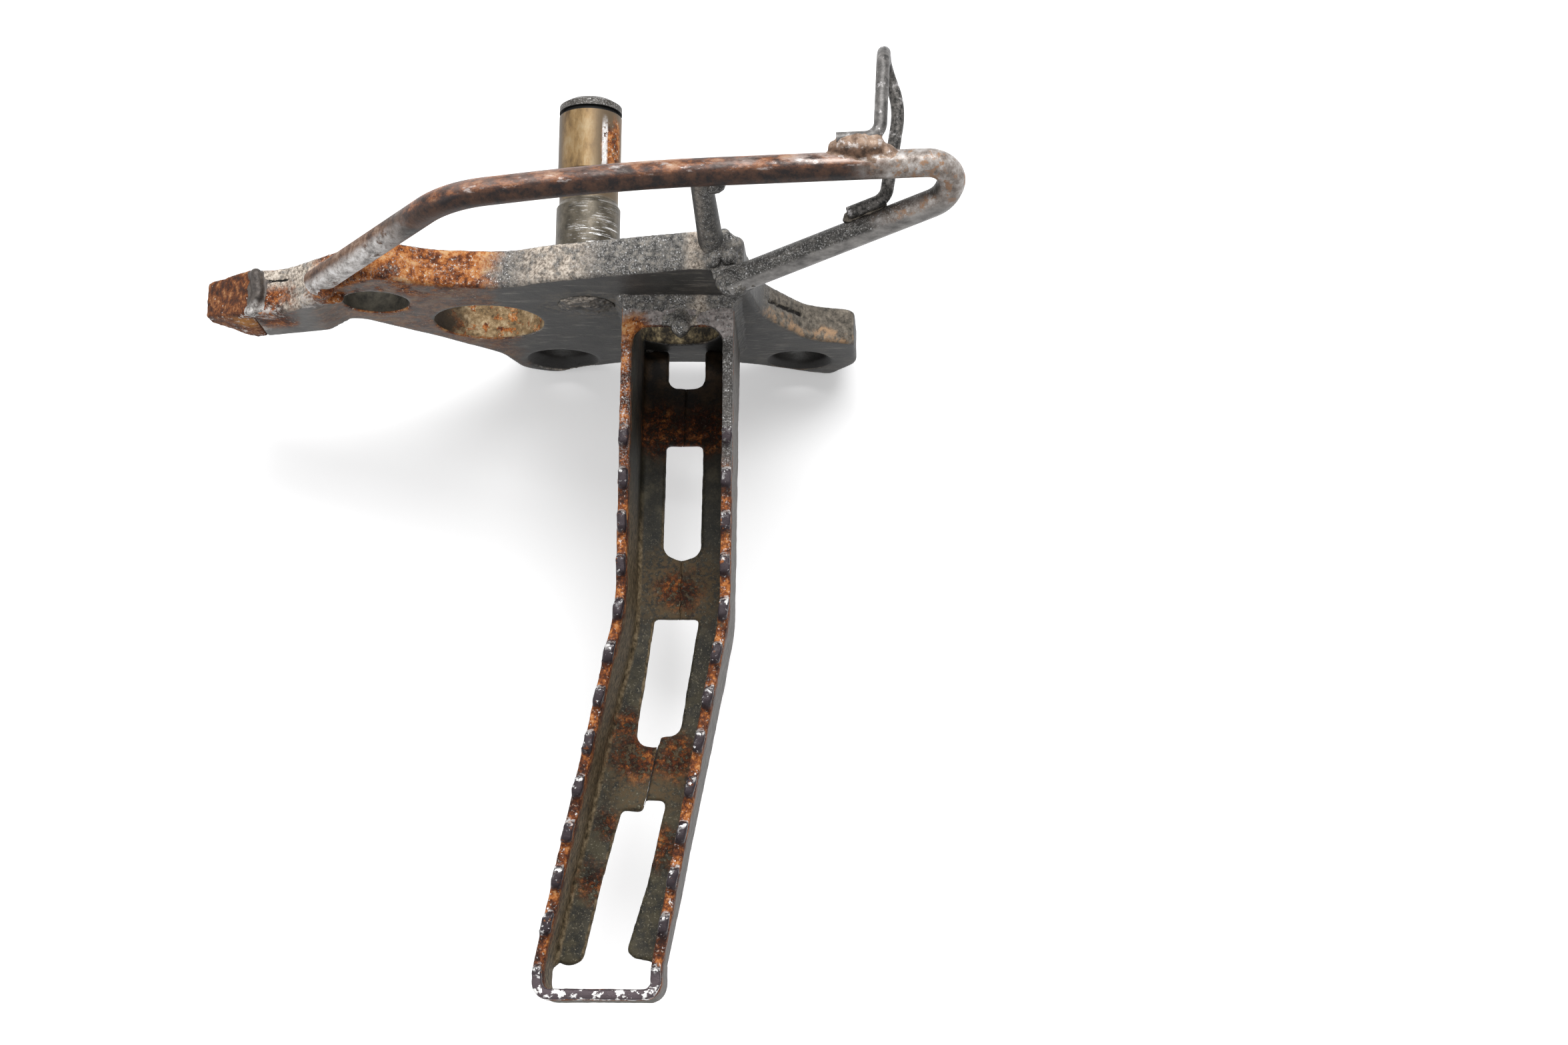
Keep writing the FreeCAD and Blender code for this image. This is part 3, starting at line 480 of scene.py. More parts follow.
def rim_coats(f, height, along):
    """Rust down from the rims, a grey right rim near the root, and dark crests worn bright, with painted
    shade on the crests and a painted highlight on their plate-side slope.
    """
    rim = f.smooth(height, RIM_LEVEL - 3.4, RIM_LEVEL - 1.6)
    rim_top = f.facing((0, 0, 1), 0.35, 0.7)
    worn = f.patches(0.26, 0.40, 6.0, 5, 0.6, 17)
    side = f.both(f.smooth(height, RIM_LEVEL - 9, RIM_LEVEL - 2), f.patches(0.42, 0.56, 5.0, 5, 0.6, 16))
    f.rust(f.either(side, f.both(rim, worn)), 18, 1.1, -0.035, 0.5)
    right_rim = f.both(rim, f.smooth(f.axis(0), 8, 12), f.smooth(along, -66, -50))
    grey = f.ramp(f.noise(2.0, 6, 0.7, 20), (0.35, (0.028, 0.026, 0.024)), (0.65, (0.10, 0.092, 0.084)))
    f.coat(right_rim, grey, 0.6)
    f.speckle(f.both(rim, f.smooth(along, -66, -50)), 21, 0.8)
    ragged_height = f.axis(2, f.wobbly(2.6, 1.6, 19))
    # Crest tops darkened: the worn steel's own colour, deepened as painted shade.
    crest_wear_and_shade = f.both(f.smooth(ragged_height, RIM_LEVEL + 0.3, RIM_LEVEL + 1.5), f.smooth(along, -44, -47))
    f.coat(f.both(crest_wear_and_shade, f.patches(0.30, 0.42, 2.2, 5, 0.6, 19)), (0.030, 0.021, 0.025), 0.36, 0.3)
    # Painted highlight: bright bare metal laid on the crests' plate-side slope, where the light catches
    # them.
    slope = f.both(f.facing((0, 1, 0.5), 0.50, 0.80), f.smooth(height, RIM_LEVEL + 0.2, RIM_LEVEL + 0.9))
    f.bare(f.both(slope, f.patches(0.47, 0.58, 1.5, 5, 0.65, 23)))
    scuffs = f.patches(0.60, 0.68, 1.3, 5, 0.65, 24)
    f.bare(f.both(rim, rim_top, scuffs, f.smooth(along, -60, -110, 0.4, 1.0)))
    # Tip rim: dark worn steel with bright bare patches, partly painted shade and painted highlight.
    tip = f.both(f.smooth(along, -184.5, -187), rim)
    f.coat(f.both(tip, f.smooth(height, RIM_LEVEL, RIM_LEVEL + 1)), (0.085, 0.065, 0.072), 0.42, 0.3)
    f.bare(f.both(tip, f.patches(0.53, 0.57, 3.0, 5, 0.6, 26)))


def roof_coats(f, height, along):
    """Pale worn roof over the channel's root, with pits and a rusty corner."""
    roof = f.both(f.facing((0, 0, 1), 0.3, 0.6), f.smooth(along, -22, -19.5), f.smooth(height, 54, 56))
    f.coat(roof, f.ramp(f.noise(1.4, 6, 0.74, 25), (0.38, (0.085, 0.075, 0.071)),
                        (0.60, (0.50, 0.44, 0.42))), 0.45)
    f.speckle(roof, 27, 0.9)
    corner = f.near((-8.6, -18.4, 57.4), 4.2, 1.6, f.wobbly(3.0, 2.0, 5))
    f.rust(f.both(corner, f.smooth(f.axis(0), -3, -6)), 28, 1.0, 0.06)
    pits = [f.near((x, y, 59.0), 0.75, 0.3) for x, y in ((-5.1, -13.7), (-1.3, -13.4), (0.7, -13.7),
                                                         (9.9, -13.0), (7.2, -15.4))]
    f.coat(f.either(*pits), (0.006, 0.006, 0.006), 0.8, 0.0, -0.5)


def shaft_finish():
    """Turned steel: tan varnish on the barrel, painted shade on both its sides and a painted highlight
    line along it, a scored collar and a dark end.
    """
    f = Finish("turned_steel", 0.42, 0.3)
    along = f.axis(1)
    f.colour = f.ramp(f.noise(4.0, 6, 0.68, 0, (1, 0.4, 1)), (0.36, (0.11, 0.066, 0.028)),
                      (0.52, (0.26, 0.165, 0.070)), (0.68, (0.34, 0.26, 0.15)))
    # Painted shade: the barrel is darkened where it faces left and where it faces up to the right.
    f.coat(f.facing((-1, 0, 0.1), 0.75, 0.98), (0.07, 0.045, 0.022), 0.45)
    f.coat(f.facing((0.75, 0, 0.66), 0.60, 0.98), (0.13, 0.092, 0.055), 0.5)
    f.raise_by(f.noise(0.5, 3, 0.6, 3, (0.2, 3.0, 0.2)), 0.03)
    collar = f.smooth(along, 18.6, 17.6)
    f.coat(collar, f.ramp(f.noise(3, 6, 0.65, 5), (0.3, (0.035, 0.03, 0.022)),
                          (0.55, (0.10, 0.085, 0.062)), (0.75, (0.19, 0.165, 0.13))), 0.42, 0.4)
    scored = f.patches(0.53, 0.60, 1.0, 5, 0.78, 7, (0.14, 2.0, 0.14))
    lower = f.both(f.smooth(along, 15, 7, 0.25, 1.0), f.facing((0.40, 0, 1), 0.55, 0.9))
    f.bare(f.both(collar, scored, lower, f.patches(0.40, 0.5, 5.0, 4, 0.6, 8)), 0.28)
    end = f.smooth(along, 42.0, 43.2)
    f.coat(end, f.ramp(f.noise(1.5, 6, 0.7, 10), (0.3, (0.025, 0.023, 0.02)),
                       (0.7, (0.11, 0.10, 0.09))), 0.5)
    f.speckle(end, 9, 0.7)
    f.coat(f.band(1, 42.3, 43.6, 0.1), (0.008, 0.008, 0.008), 0.6)
    streak = f.both(f.facing((0.8, 0, 0.62), 0.88, 0.98), f.band(1, 28, 38, 3, f.wobbly(4, 7)))
    f.rust(f.both(streak, f.patches(0.32, 0.45, 2.0, 5, 0.6, 12)), 11, 1.6, 0.02)
    # Painted highlight: a narrow bright line where the barrel faces up to the right, laid as bare metal.
    line = f.both(f.facing((0.55, 0, 0.83), 0.988, 0.996), f.band(1, 25.5, 39, 2.5, f.wobbly(3, 3)))
    f.bare(f.both(line, f.patches(0.38, 0.48, 1.2, 5, 0.7, 13)), 0.25)
    return f.done()


def rod_finish():
    """Bent rod: rusty brown above, paler towards the foot and the turn, with rubbed patches, painted shade
    under the upper rod and inside the turn, and painted highlights along its top and on the lower leg.
    """
    f = Finish("worn_rod", 0.42, 0.1)
    x = f.axis(0)
    z = f.axis(2)
    brown = f.ramp(f.noise(3.4, 6, 0.72, 3, (0.5, 1, 1)), (0.38, (0.022, 0.012, 0.010)),
                   (0.48, (0.085, 0.036, 0.022)), (0.56, (0.24, 0.092, 0.038)), (0.66, (0.40, 0.24, 0.15)))
    grey = f.ramp(f.noise(1.8, 6, 0.72, 5, (0.6, 1, 1)), (0.36, (0.014, 0.014, 0.013)),
                  (0.52, (0.050, 0.047, 0.043)), (0.68, (0.17, 0.16, 0.145)))
    upper = f.both(f.smooth(z, 100, 105), f.smooth(x, 62, 52))
    f.colour = f.blend(upper, grey, brown)
    # Painted shade: the upper rod is darkened where it faces forward and down.
    under = f.facing((0, -1, 0.1), 0.10, 0.60)
    f.coat(f.both(upper, under), f.ramp(f.noise(3.0, 5, 0.7, 4), (0.4, (0.012, 0.008, 0.008)),
                                        (0.62, (0.075, 0.036, 0.022))), 0.36)
    # Painted highlight: pale patches laid only along the top of the upper rod, partly worn paint.
    painted_highlight_crown = f.facing((0, 0.45, 0.9), 0.78, 0.97)
    bloom = f.patches(0.42, 0.60, 4.5, 6, 0.72, 11, (0.35, 1, 1))
    bloom = f.both(bloom, f.smooth(x, 5, 52, 0.22, 1.0))
    f.coat(f.both(upper, painted_highlight_crown, bloom), (0.46, 0.37, 0.33), 0.34, 0.2)
    # Painted highlight: small pale glints on the upward-facing top of the upper rod.
    glint = f.patches(0.55, 0.72, 2.2, 6, 0.7, 12, (0.4, 1, 1))
    f.coat(f.both(upper, f.facing((0, 0.2, 1), 0.8, 0.97), glint), (0.60, 0.55, 0.53), 0.32, 0.3)

    leg = f.smooth(x, -60, -72)
    f.coat(leg, f.ramp(f.noise(3.0, 6, 0.72, 6), (0.38, (0.045, 0.022, 0.014)),
                       (0.54, (0.17, 0.095, 0.060)), (0.66, (0.33, 0.24, 0.18))), 0.6)
    smear = f.ramp(f.noise(2.4, 6, 0.72, 8), (0.36, (0.20, 0.185, 0.175)), (0.5, (0.55, 0.52, 0.50)),
                   (0.64, (0.85, 0.83, 0.82)))
    pale = f.both(leg, f.facing((0.5, -0.62, 0.6), 0.05, 0.55), f.patches(0.34, 0.47, 3.6, 6, 0.74, 7))
    f.coat(pale, smear, 0.40, 0.25)
    f.raise_by(f.noise(1.3, 5, 0.6, 9), 0.12)

    turn = f.near((68, 5, 108), 17, 6, f.wobbly(5, 4, 1))
    f.coat(turn, f.ramp(f.noise(3.0, 6, 0.7, 13), (0.36, (0.11, 0.085, 0.070)), (0.5, (0.28, 0.245, 0.22)),
                        (0.66, (0.52, 0.49, 0.47))), 0.38, 0.3)
    f.coat(f.both(turn, f.patches(0.52, 0.62, 3.4, 6, 0.7, 14)), (0.30, 0.18, 0.11), 0.6)
    # Painted shade: darker on the inside of the turn.
    painted_inner_shade = f.both(f.smooth(x, 40, 52), f.facing((-0.9, 0.35, 0.1), 0.25, 0.75))
    f.coat(painted_inner_shade, (0.030, 0.024, 0.020), 0.5)
    low_leg = f.both(f.smooth(z, 106, 100), f.smooth(x, 10, 16))
    f.speckle(f.both(low_leg, f.facing((0, 0.2, 1), 0.2, 0.6)), 15, 0.55)
    # Painted light: a lighter band where the lower leg faces forward and down.
    band = f.both(low_leg, f.facing((0.25, -1, 0.25), 0.62, 0.90))
    f.coat(band, f.ramp(f.noise(2.4, 5, 0.65, 17, (0.5, 1, 1)), (0.35, (0.13, 0.125, 0.12)),
                        (0.65, (0.34, 0.325, 0.31))), 0.40, 0.3)
    return f.done()


def wire_finish():
    """Grey wire with bare patches where it was rubbed, and painted shade on its right leg."""
    f = Finish("worn_wire", 0.42, 0.3)
    f.colour = f.ramp(f.noise(2.0, 6, 0.68), (0.3, (0.05, 0.048, 0.046)),
                      (0.55, (0.16, 0.152, 0.146)), (0.75, (0.34, 0.325, 0.315)))
    f.raise_by(f.noise(0.9, 4, 0.6, 3), 0.08)
    # Painted shade: the right leg, which lies under the upper one, is darkened in patches.
    dark = f.both(f.smooth(f.axis(0), 54.6, 56.0), f.patches(0.38, 0.5, 6.0, 4, 0.6, 6))
    f.coat(dark, f.ramp(f.noise(1.6, 6, 0.7, 7), (0.36, (0.010, 0.010, 0.010)),
                        (0.66, (0.11, 0.105, 0.10))), 0.4)
    foot = f.smooth(f.axis(2), 103, 101)
    f.coat(foot, f.ramp(f.noise(1.2, 6, 0.75, 8), (0.40, (0.012, 0.012, 0.011)),
                        (0.6, (0.15, 0.14, 0.13))), 0.5)
    f.coat(f.patches(0.56, 0.70, 2.4, 5, 0.65, 5), (0.52, 0.50, 0.50), 0.35, 0.4)
    return f.done()


def lug_finish():
    """Deep rust with tan bloom, orange and bare spots along the worn lower edge."""
    f = Finish("rusted_lug", 0.8)
    f.colour = f.ramp(f.noise(2.2, 6, 0.75), (0.36, (0.022, 0.009, 0.005)), (0.48, (0.095, 0.030, 0.012)),
                      (0.57, (0.24, 0.082, 0.026)), (0.67, (0.48, 0.27, 0.13)))
    f.raise_by(f.noise(1.2, 6, 0.65, 5), 0.35)
    front = f.facing((0, -1, 0), 0.4, 0.8)
    f.coat(f.both(front, f.near((-114.0, -12.4, 43.5), 4.2, 1.8, f.wobbly(3, 2, 6))),
           f.ramp(f.noise(1.5, 5, 0.6, 7), (0.3, (0.22, 0.07, 0.015)), (0.7, (0.58, 0.26, 0.06))), 0.8)
    worn = f.both(front, f.patches(0.55, 0.62, 2.2, 6, 0.7, 9))
    f.coat(worn, (0.62, 0.56, 0.52), 0.5, 0.2)
    f.coat(f.flecks(0.9, 0.10, 4), (0.55, 0.50, 0.46), 0.5)
    return f.done()


def ridge_finish():
    """Bare dark weld metal, rubbed bright at one end."""
    f = Finish("bare_weld", 0.45, 0.4)
    f.colour = f.ramp(f.noise(2.0, 6, 0.7), (0.3, (0.035, 0.03, 0.028)), (0.6, (0.10, 0.085, 0.075)),
                      (0.75, (0.22, 0.15, 0.11)))
    f.raise_by(f.noise(0.8, 5, 0.6, 3), 0.15)
    bright = f.smooth(f.axis(1, f.wobbly(2.0, 1.5)), -8.5, -12.0)
    f.coat(f.both(bright, f.patches(0.36, 0.6, 1.0, 5, 0.7, 5)), (0.50, 0.48, 0.46), 0.42, 0.3)
    return f.done()


def guide_weld_finish():
    """Rust-tinted weld metal between the rod and the wire, with painted shade below and painted highlights
    on top.
    """
    f = Finish("tinted_weld", 0.5, 0.2)
    f.colour = f.ramp(f.noise(3.0, 6, 0.68), (0.28, (0.05, 0.03, 0.02)), (0.45, (0.20, 0.13, 0.09)),
                      (0.6, (0.36, 0.25, 0.18)), (0.75, (0.50, 0.44, 0.39)))
    f.raise_by(f.noise(1.2, 5, 0.6, 3), 0.2)
    # Painted shade: darker where the weld faces forward and down.
    f.coat(f.facing((0, -1, 0.1), 0.15, 0.6), f.ramp(f.noise(2.6, 5, 0.7, 4), (0.4, (0.05, 0.03, 0.02)),
                                                    (0.62, (0.19, 0.11, 0.07))), 0.45)
    # Painted highlight: pale patches on the weld's upward-facing top.
    pale = f.both(f.facing((0, 0.3, 1), 0.6, 0.95), f.patches(0.50, 0.64, 3.0, 5, 0.65, 7))
    f.coat(pale, (0.66, 0.62, 0.60), 0.35, 0.3)
    return f.done()


def link(piece):
    """Puts the piece in the scene."""
    bpy.context.scene.collection.objects.link(piece)
    return piece


def raw_shell(nodes, lumps=()):
    """The named nodes' solids and further balls (x, y, z, radius) in millimetres, unmerged."""
    bm = bmesh.new()
    for node in nodes:
        bm.from_mesh(NODES[node].data)
    for x, y, z, radius in lumps:
        place = Matrix.Translation(Vector((x, y, z)) * MM)
        bmesh.ops.create_icosphere(bm, subdivisions=2, radius=radius * MM, matrix=place)
    return bm


def remeshed(name, bm, voxel, relax):
    """One even skin round the shell, with its corners worn by relaxing it."""
    mesh = bpy.data.meshes.new(name)
    bm.to_mesh(mesh)
    bm.free()
    piece = link(bpy.data.objects.new(name, mesh))
    skin = piece.modifiers.new("skin", "REMESH")
    skin.mode = "VOXEL"
    skin.voxel_size = voxel * MM
    ease = piece.modifiers.new("ease", "SMOOTH")
    ease.factor = 0.5
    ease.iterations = relax
    return applied(piece)


def applied(piece):
    """Turns the piece's modifiers into its mesh."""
    graph = bpy.context.evaluated_depsgraph_get()
    mesh = bpy.data.meshes.new_from_object(piece.evaluated_get(graph))
    piece.modifiers.clear()
    piece.data = mesh
    return piece


def weathered(piece, lift):
    """Moves each point along its normal by lift(place, normal), in millimetres."""
    mesh = piece.data
    normals = [Vector(n.vector) for n in mesh.vertex_normals]
    for vertex, normal in zip(mesh.vertices, normals):
        vertex.co += normal * (lift(vertex.co / MM, normal) * MM)
    return piece


def grain(place, size, octaves=3):
    """Signed fractal noise with features about size millimetres across."""
    return noise.fractal(place / size, 0.9, 2.1, octaves)


def finished(piece, material):
    """Gives a piece its finish, and shades it smooth."""
    piece.data.materials.clear()
    piece.data.materials.append(material)
    for polygon in piece.data.polygons:
        polygon.use_smooth = True


def stand_in(piece, slot, material, *nodes):
    """Finishes a piece that stands for nodes of the part."""
    finished(piece, material)
    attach(piece, "root")
    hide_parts(*nodes)


def chain(start, end, count, radius, wander, seed):
    """Overlapping balls along a line, each a little off in size and place."""
    balls = []
    for i in range(count):
        share = i / (count - 1)
        shake = [wander * noise.noise(Vector((seed, i * 1.37, k * 5.1))) for k in range(4)]
        x, y, z = (a + (b - a) * share + s for a, b, s in zip(start, end, shake))
        balls.append((x, y, z, radius * (1 + 0.35 * shake[3])))
    return balls


def groove(place, normal, line, depth):
    """How far a crack sinks the skin at a place."""
    along, start, end, across, at_start, at_end = line
    if normal.z < 0.4 or not start < place[along] < end:
        return 0.0
    share = (place[along] - start) / (end - start)
    gap = place[across] - at_start - share * (at_end - at_start) - 0.4 * grain(place, 2.0, 2)
    return -depth * math.exp(-(gap / CRACK_WIDTH) ** 2)


def build_plate(material):
    """Plate with worn edges, slight dents and cracks; balls keep the left ear's thin rim whole."""
    thin_rim = chain((-33.0, -9.0, -10.3), (-25.2, -9.0, -5.9), 12, 0.75, 0.0, 0.0)
    piece = remeshed("bracket_plate", raw_shell(["mounting_plate"], thin_rim), PLATE_VOXEL, 1)

    def lift(place, normal):
        level = 0.07 * grain(place, 8.0) + 0.03 * grain(place, 1.6, 2)
        if normal.z > 0.4:
            level += 0.07 * grain(place, 2.2, 2)
            level += sum(groove(place, normal, line, depth) for line, depth in CRACK_DEPTHS)
            if place.x < -98:
                level += 0.20 * grain(place, 3.0)
        return level

    stand_in(weathered(piece, lift), "bracket_paint", material, "mounting_plate")


def build_lug(material):
    """Lug with corroded faces."""
    piece = remeshed("stop_lug", raw_shell(["arm_stop_lug"]), LUG_VOXEL, 3)

    def lift(place, normal):
        return 0.22 * grain(place, 3.6) + 0.08 * grain(place, 0.9, 2)

    stand_in(weathered(piece, lift), "rusted_steel", material, "arm_stop_lug")


def lean(station):
    """X of the channel's middle line at a distance from the plate."""
    return MIDDLE - DRIFT * max(0.0, station - BEND)


def seam_prism(bm, offset, start, end, half, low, high, wobble=0.0, slant=0.0):
    """Strip along a seam, from low to high across the sheet of the channel's floor."""
    count = max(2, int((end - start) / 0.8)) if wobble else 2
    rings = []
    for i in range(count):
        station = start + (end - start) * i / (count - 1)
        x = lean(station) + offset + wobble * grain(Vector((station, offset, 3.0)), 2.0)
        y = PLATE_FRONT - station
        floor = FLOOR_UNDERSIDE + FLOOR_RISE * station
        under = x + slant * (low - SHEET)
        over = x + slant * (high - SHEET)
        corners = ((under - half, floor + low), (under + half, floor + low),
                   (over + half, floor + high), (over - half, floor + high))
        rings.append([bm.verts.new(Vector((cx, y, cz)) * MM) for cx, cz in corners])
    for near_ring, far_ring in zip(rings, rings[1:]):
        for k in range(4):
            n = (k + 1) % 4
            bm.faces.new((near_ring[k], near_ring[n], far_ring[n], far_ring[k]))
    bm.faces.new(rings[0][::-1])
    bm.faces.new(rings[-1])


def build_channel(material):
    """Channel with rounded, worn teeth; its seams are filled for the skin and cut again after."""
    bm = raw_shell(["peg_channel"])
    for offset, start, end, _ in SEAMS:
        seam_prism(bm, offset, start + 0.4, end - 0.6, 1.4, 0.25, 2.4)
    piece = remeshed("tread_channel", bm, CHANNEL_VOXEL, 3)

    def lift(place, normal):
        level = 0.14 * grain(place, 8.0) + 0.05 * grain(place, 1.5, 2)
        if place.z > RIM_LEVEL - 1.0:
            level += 0.22 * grain(place, 2.6) - 0.08
        return level

    weathered(piece, lift)
    cutter_mesh = bpy.data.meshes.new("seams")
    bm = bmesh.new()
    for offset, start, end, half in SEAMS:
        seam_prism(bm, offset, start - 1.2, end + 1.2, half, -2.0, 6.0, 0.22, SEAM_SLANT)
    bmesh.ops.recalc_face_normals(bm, faces=bm.faces)
    bm.to_mesh(cutter_mesh)
    bm.free()
    cutter = link(bpy.data.objects.new("seams", cutter_mesh))
    carve = piece.modifiers.new("carve", "BOOLEAN")
    carve.operation = "DIFFERENCE"
    carve.solver = "EXACT"
    carve.object = cutter
    applied(piece)
    bpy.data.objects.remove(cutter)
    stand_in(piece, "tread_steel", material, "peg_channel")


def local_solid(node, low, high):
    """The part of a node's solid that lies in a box, as a mesh."""
    piece = link(bpy.data.objects.new("local", NODES[node].data.copy()))
    mesh = bpy.data.meshes.new("box")
    bm = bmesh.new()
    bmesh.ops.create_cube(bm, size=1.0)
    for vertex in bm.verts:
        vertex.co = Vector([MM * (a + (b - a) * (c + 0.5)) for a, b, c in zip(low, high, vertex.co)])
    bm.to_mesh(mesh)
    bm.free()
    box = link(bpy.data.objects.new("box", mesh))
    cut = piece.modifiers.new("cut", "BOOLEAN")
    cut.operation = "INTERSECT"
    cut.solver = "EXACT"
    cut.object = box
    applied(piece)
    local = piece.data
    bpy.data.objects.remove(piece)
    bpy.data.objects.remove(box)
    return local


def build_weld(node, material, lumps, hosts, rough, relax):
    """Weld deposit that flows into its hosts: their skins run on under its edge, just sunk."""
    low = [min(ball[k] - ball[3] for ball in lumps) - WELD_MARGIN for k in range(3)]
    high = [max(ball[k] + ball[3] for ball in lumps) + WELD_MARGIN for k in range(3)]
    bm = raw_shell([], lumps)
    for host in hosts:
        bm.from_mesh(local_solid(host, low, high))
    piece = remeshed(node + "_deposit", bm, WELD_VOXEL, relax)

    def lift(place, normal):
        gap = min((place - Vector(ball[:3])).length - ball[3] for ball in lumps)
        fade = max(0.0, min(1.0, (WELD_FADE_END - gap) / (WELD_FADE_END - WELD_FADE_START)))
        level = rough * grain(place, 2.6) + 0.3 * rough * grain(place, 0.8, 2)
        return fade * level - (1.0 - fade) * WELD_SUNK

    stand_in(weathered(piece, lift), "weld_metal", material, node)


def build_plain_weld(node, material, rough):
    """Weld deposit in its own form, roughened."""
    piece = remeshed(node + "_deposit", raw_shell([node]), WELD_VOXEL, 4)

    def lift(place, normal):
        return rough * grain(place, 2.4) + 0.4 * rough * grain(place, 0.8, 2)

    stand_in(weathered(piece, lift), "weld_metal", material, node)


def build_channel_welds(paint):
    """Runs along the channel's roof and walls, the drip over its mouth and the shaft's plug."""
    walls = ("mounting_plate", "peg_channel")
    top = chain((-11.5, CHANNEL_WELDS, 58.0), (16.5, CHANNEL_WELDS, 58.0), 15, 2.3, 0.3, 1.0)
    build_weld("weld_channel_top", paint, top, walls, 0.18, 14)
    for node, x, seed in (("weld_channel_left", WALLS[0] + 0.6, 3.0),
                          ("weld_channel_right", WALLS[1] - 0.6, 4.0)):
        run = chain((x, CHANNEL_WELDS, 12.5), (x, CHANNEL_WELDS, 55.5), 22, 2.2, 0.3, seed)
        build_weld(node, paint, run, walls, 0.15, 12)
    drip = [(3.4, -15.0, 57.9, 1.5), (3.5, -16.4, 58.0, 2.0), (3.3, -17.8, 58.0, 2.7),
            (3.3, -19.2, 57.4, 1.5), (1.6, -16.4, 57.6, 1.4), (5.2, -16.6, 57.6, 1.3)]
    build_weld("weld_roof_seam", paint, drip, ("peg_channel",), 0.12, 5)
    build_plain_weld("weld_shaft_plug", paint, 0.35)


def build_arm_welds(paint, ridge):
    """Welds of the lug and of the guard on the arm."""
    bar = chain((-110.7, -1.4, 51.7), (-109.9, -6.5, 51.6), 7, 1.7, 0.2, 5.0)
    bar += chain((-110.0, -7.5, 51.6), (-111.3, -11.8, 51.3), 6, 1.5, 0.2, 5.5)
    build_weld("weld_stop_lug", ridge, bar, ("mounting_plate", "arm_stop_lug"), 0.12, 4)
    toe = chain((-95.5, -10.8, 58.6), (-86.6, -11.0, 61.4), 8, 1.7, 0.5, 6.0)
    toe += chain((-91.0, -11.0, 63.5), (-88.0, -11.6, 68.5), 5, 1.9, 0.4, 7.0)
    build_weld("weld_guard_arm_front", paint, toe, ("mounting_plate", "heel_guard_hoop"), 0.2, 8)
    back = chain((-92.5, -4.6, 63.2), (-87.2, -4.4, 67.6), 6, 2.1, 0.4, 8.0)
    build_weld("weld_guard_arm_rear", paint, back, ("mounting_plate", "heel_guard_hoop"), 0.2, 8)


def build_guard_welds(paint, tinted):
    """Welds of the guard and its stay on the plate's head, and of the wire loop on the guard."""
    head = chain((14.8, -10.9, 79.6), (20.6, -10.8, 81.3), 7, 2.3, 0.5, 9.0)
    head += [(15.9, -13.4, 81.3, 2.6), (17.4, -14.4, 82.2, 3.3), (19.2, -14.0, 82.8, 3.5),
             (21.0, -13.0, 83.2, 3.5)]
    build_weld("weld_guard_head", paint, head, ("mounting_plate", "heel_guard_hoop"), 0.2, 10)
    mound = [(16.3, -2.6, 81.9, 2.5), (18.0, -3.2, 81.4, 2.3), (17.0, -6.4, 81.2, 2.3),
             (9.6, -4.2, 82.3, 1.6), (9.8, -6.6, 82.2, 1.5)]
    mound += chain((12.8, -7.8, 82.2), (15.6, -1.4, 82.8), 5, 1.9, 0.3, 10.0)
    build_weld("weld_stay_foot", paint, mound, ("mounting_plate", "guard_stay"), 0.2, 9)
    build_plain_weld("weld_stay_head", paint, 0.2)
    saddle = [(43.6, 10.6, 113.2, 1.8), (46.5, 10.4, 113.8, 2.6), (49.8, 10.4, 114.0, 3.2),
              (53.2, 10.6, 113.4, 3.1), (56.4, 9.2, 112.6, 2.6), (52.6, 8.0, 112.6, 2.6)]
    build_weld("weld_guide_upper", tinted, saddle, ("heel_guard_hoop", "hose_guide_loop"), 0.1, 16)
    build_plain_weld("weld_guide_lower", paint, 0.2)


def build_camera():
    """Camera at the photograph's place and angle."""
    data = bpy.data.cameras.new("camera")
    camera = link(bpy.data.objects.new("camera", data))
    up = RIGHT.cross(LOOK)
    axes = Matrix((RIGHT, up, -LOOK)).transposed().to_4x4()
    camera.matrix_world = Matrix.Translation(EYE) @ axes
    data.lens = data.sensor_width * FOCAL_PIXELS / IMAGE_WIDTH
    data.clip_start = 0.01
    bpy.context.scene.camera = camera


def seen_rays(tree):
    """1 on rays that show the background: from the camera, a gloss or glass."""
    path = tree.nodes.new("ShaderNodeLightPath")
    shown = path.outputs["Is Camera Ray"]
    for name in ("Is Glossy Ray", "Is Transmission Ray"):
        either = tree.nodes.new("ShaderNodeMath")
        either.operation = "MAXIMUM"
        tree.links.new(shown, either.inputs[0])
        tree.links.new(path.outputs[name], either.inputs[1])
        shown = either.outputs[0]
    return shown


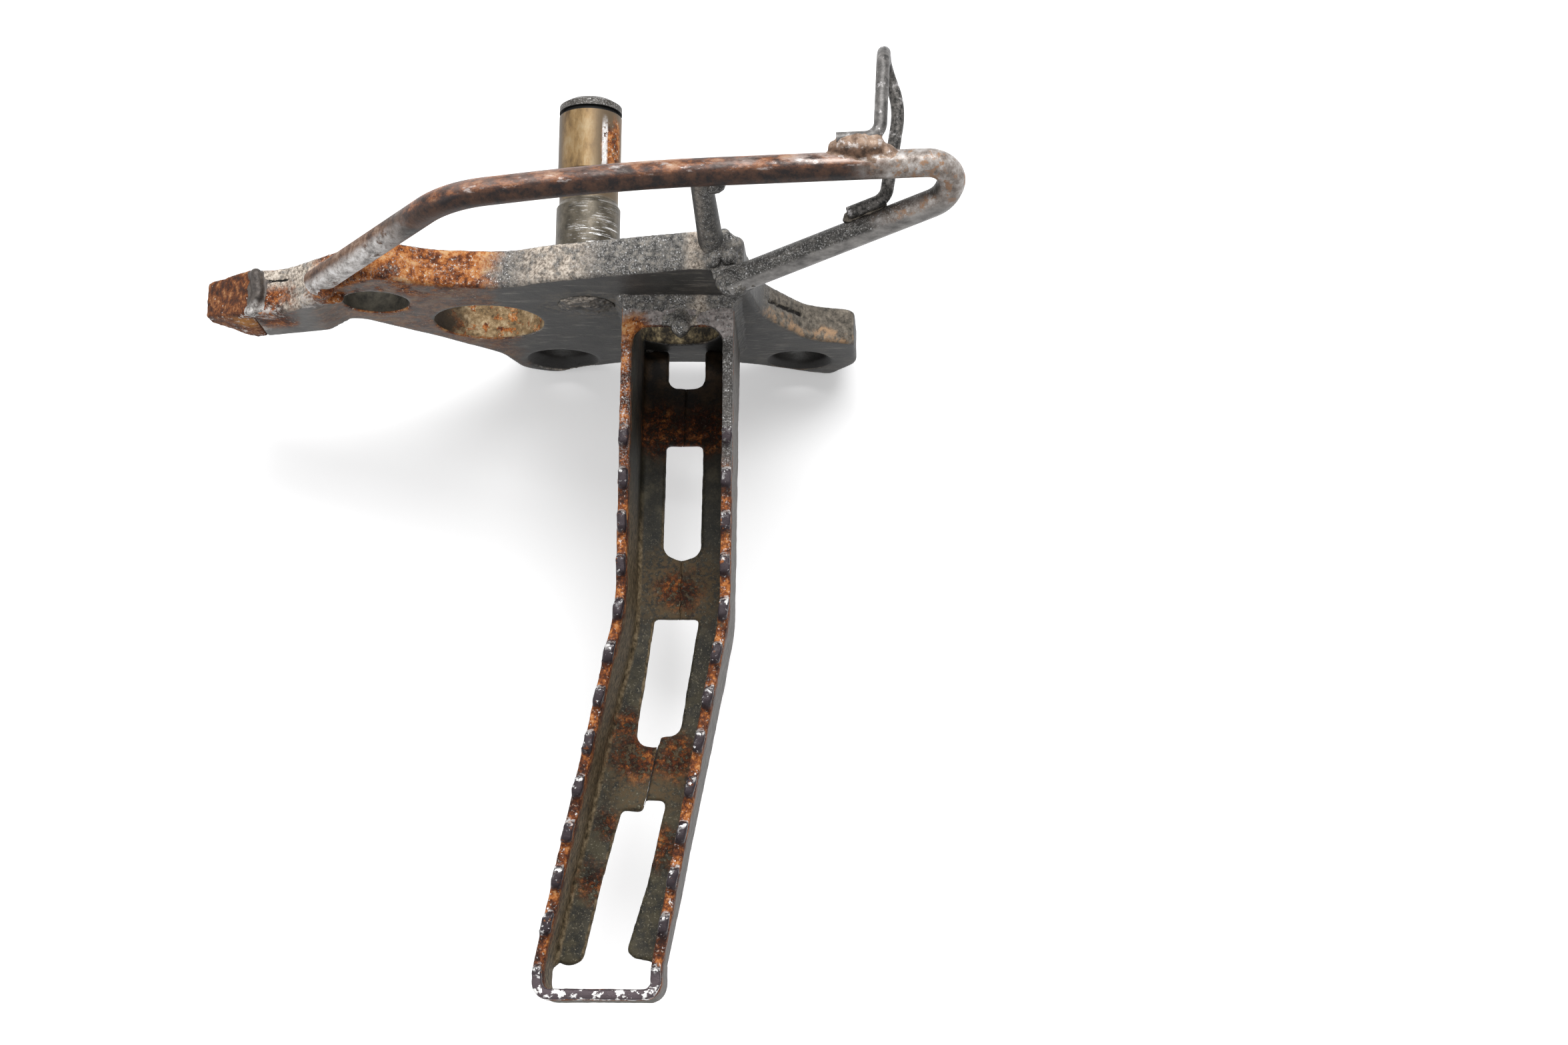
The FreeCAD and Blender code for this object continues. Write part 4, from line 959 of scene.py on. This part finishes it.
def build_floor(level):
    """Pale floor: white where it is seen, plain grey in the light that it throws back."""
    mesh = bpy.data.meshes.new("floor")
    bm = bmesh.new()
    bmesh.ops.create_grid(bm, x_segments=1, y_segments=1, size=3.0)
    bm.to_mesh(mesh)
    bm.free()
    floor = link(bpy.data.objects.new("floor", mesh))
    floor.location.z = level
    material = bpy.data.materials.new("floor")
    material.use_nodes = True
    tree = material.node_tree
    seen = tree.nodes["Principled BSDF"]
    seen.inputs["Base Color"].default_value = FLOOR_SEEN
    seen.inputs["Roughness"].default_value = 0.7
    glow = tree.nodes.new("ShaderNodeEmission")
    glow.inputs["Strength"].default_value = FLOOR_GLOW
    add = tree.nodes.new("ShaderNodeAddShader")
    plain = tree.nodes.new("ShaderNodeBsdfDiffuse")
    plain.inputs["Color"].default_value = FLOOR_LIT
    pick = tree.nodes.new("ShaderNodeMixShader")
    tree.links.new(seen.outputs[0], add.inputs[0])
    tree.links.new(glow.outputs[0], add.inputs[1])
    tree.links.new(seen_rays(tree), pick.inputs[0])
    tree.links.new(plain.outputs[0], pick.inputs[1])
    tree.links.new(add.outputs[0], pick.inputs[2])
    tree.links.new(pick.outputs[0], tree.nodes["Material Output"].inputs[0])
    mesh.materials.append(material)


def build_world():
    """White background that lights the part more softly than it is seen."""
    world = bpy.data.worlds.new("studio")
    bpy.context.scene.world = world
    world.use_nodes = True
    tree = world.node_tree
    background = tree.nodes["Background"]
    level = tree.nodes.new("ShaderNodeMapRange")
    tree.links.new(seen_rays(tree), level.inputs[0])
    level.inputs["To Min"].default_value = WORLD_LIT
    level.inputs["To Max"].default_value = WORLD_SEEN
    tree.links.new(level.outputs[0], background.inputs["Strength"])
    background.inputs["Color"].default_value = (1, 1, 1, 1)


def build_lamp(name, place, size, power):
    """Soft rectangular lamp that looks at the part."""
    data = bpy.data.lights.new(name, "AREA")
    data.shape = "RECTANGLE"
    data.size, data.size_y = size
    data.energy = power
    lamp = link(bpy.data.objects.new(name, data))
    lamp.location = place
    lamp.rotation_euler = (Vector(AIM) - Vector(place)).to_track_quat("-Z", "Y").to_euler()


def build_studio():
    """Floor just under the part, white world and two soft lamps."""
    build_floor(min(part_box(node)[0].z for node in NODES) - FLOOR_DROP * MM)
    build_world()
    build_lamp("top_light", (0.15, 0.50, 1.0), (0.9, 0.5), 12.0)
    build_lamp("side_light", (-0.9, -0.1, 0.8), (0.6, 0.8), 3.0)


bracket = bracket_finish()
build_plate(bracket)
build_lug(lug_finish())
build_channel(tread_finish())
build_channel_welds(bracket)
build_arm_welds(bracket, ridge_finish())
build_guard_welds(bracket, guide_weld_finish())
finished(NODES["guard_stay"], bracket)
finished(NODES["pivot_shaft"], shaft_finish())
finished(NODES["heel_guard_hoop"], rod_finish())
finished(NODES["hose_guide_loop"], wire_finish())

build_camera()
build_studio()
bpy.context.scene.view_settings.view_transform = "Standard"
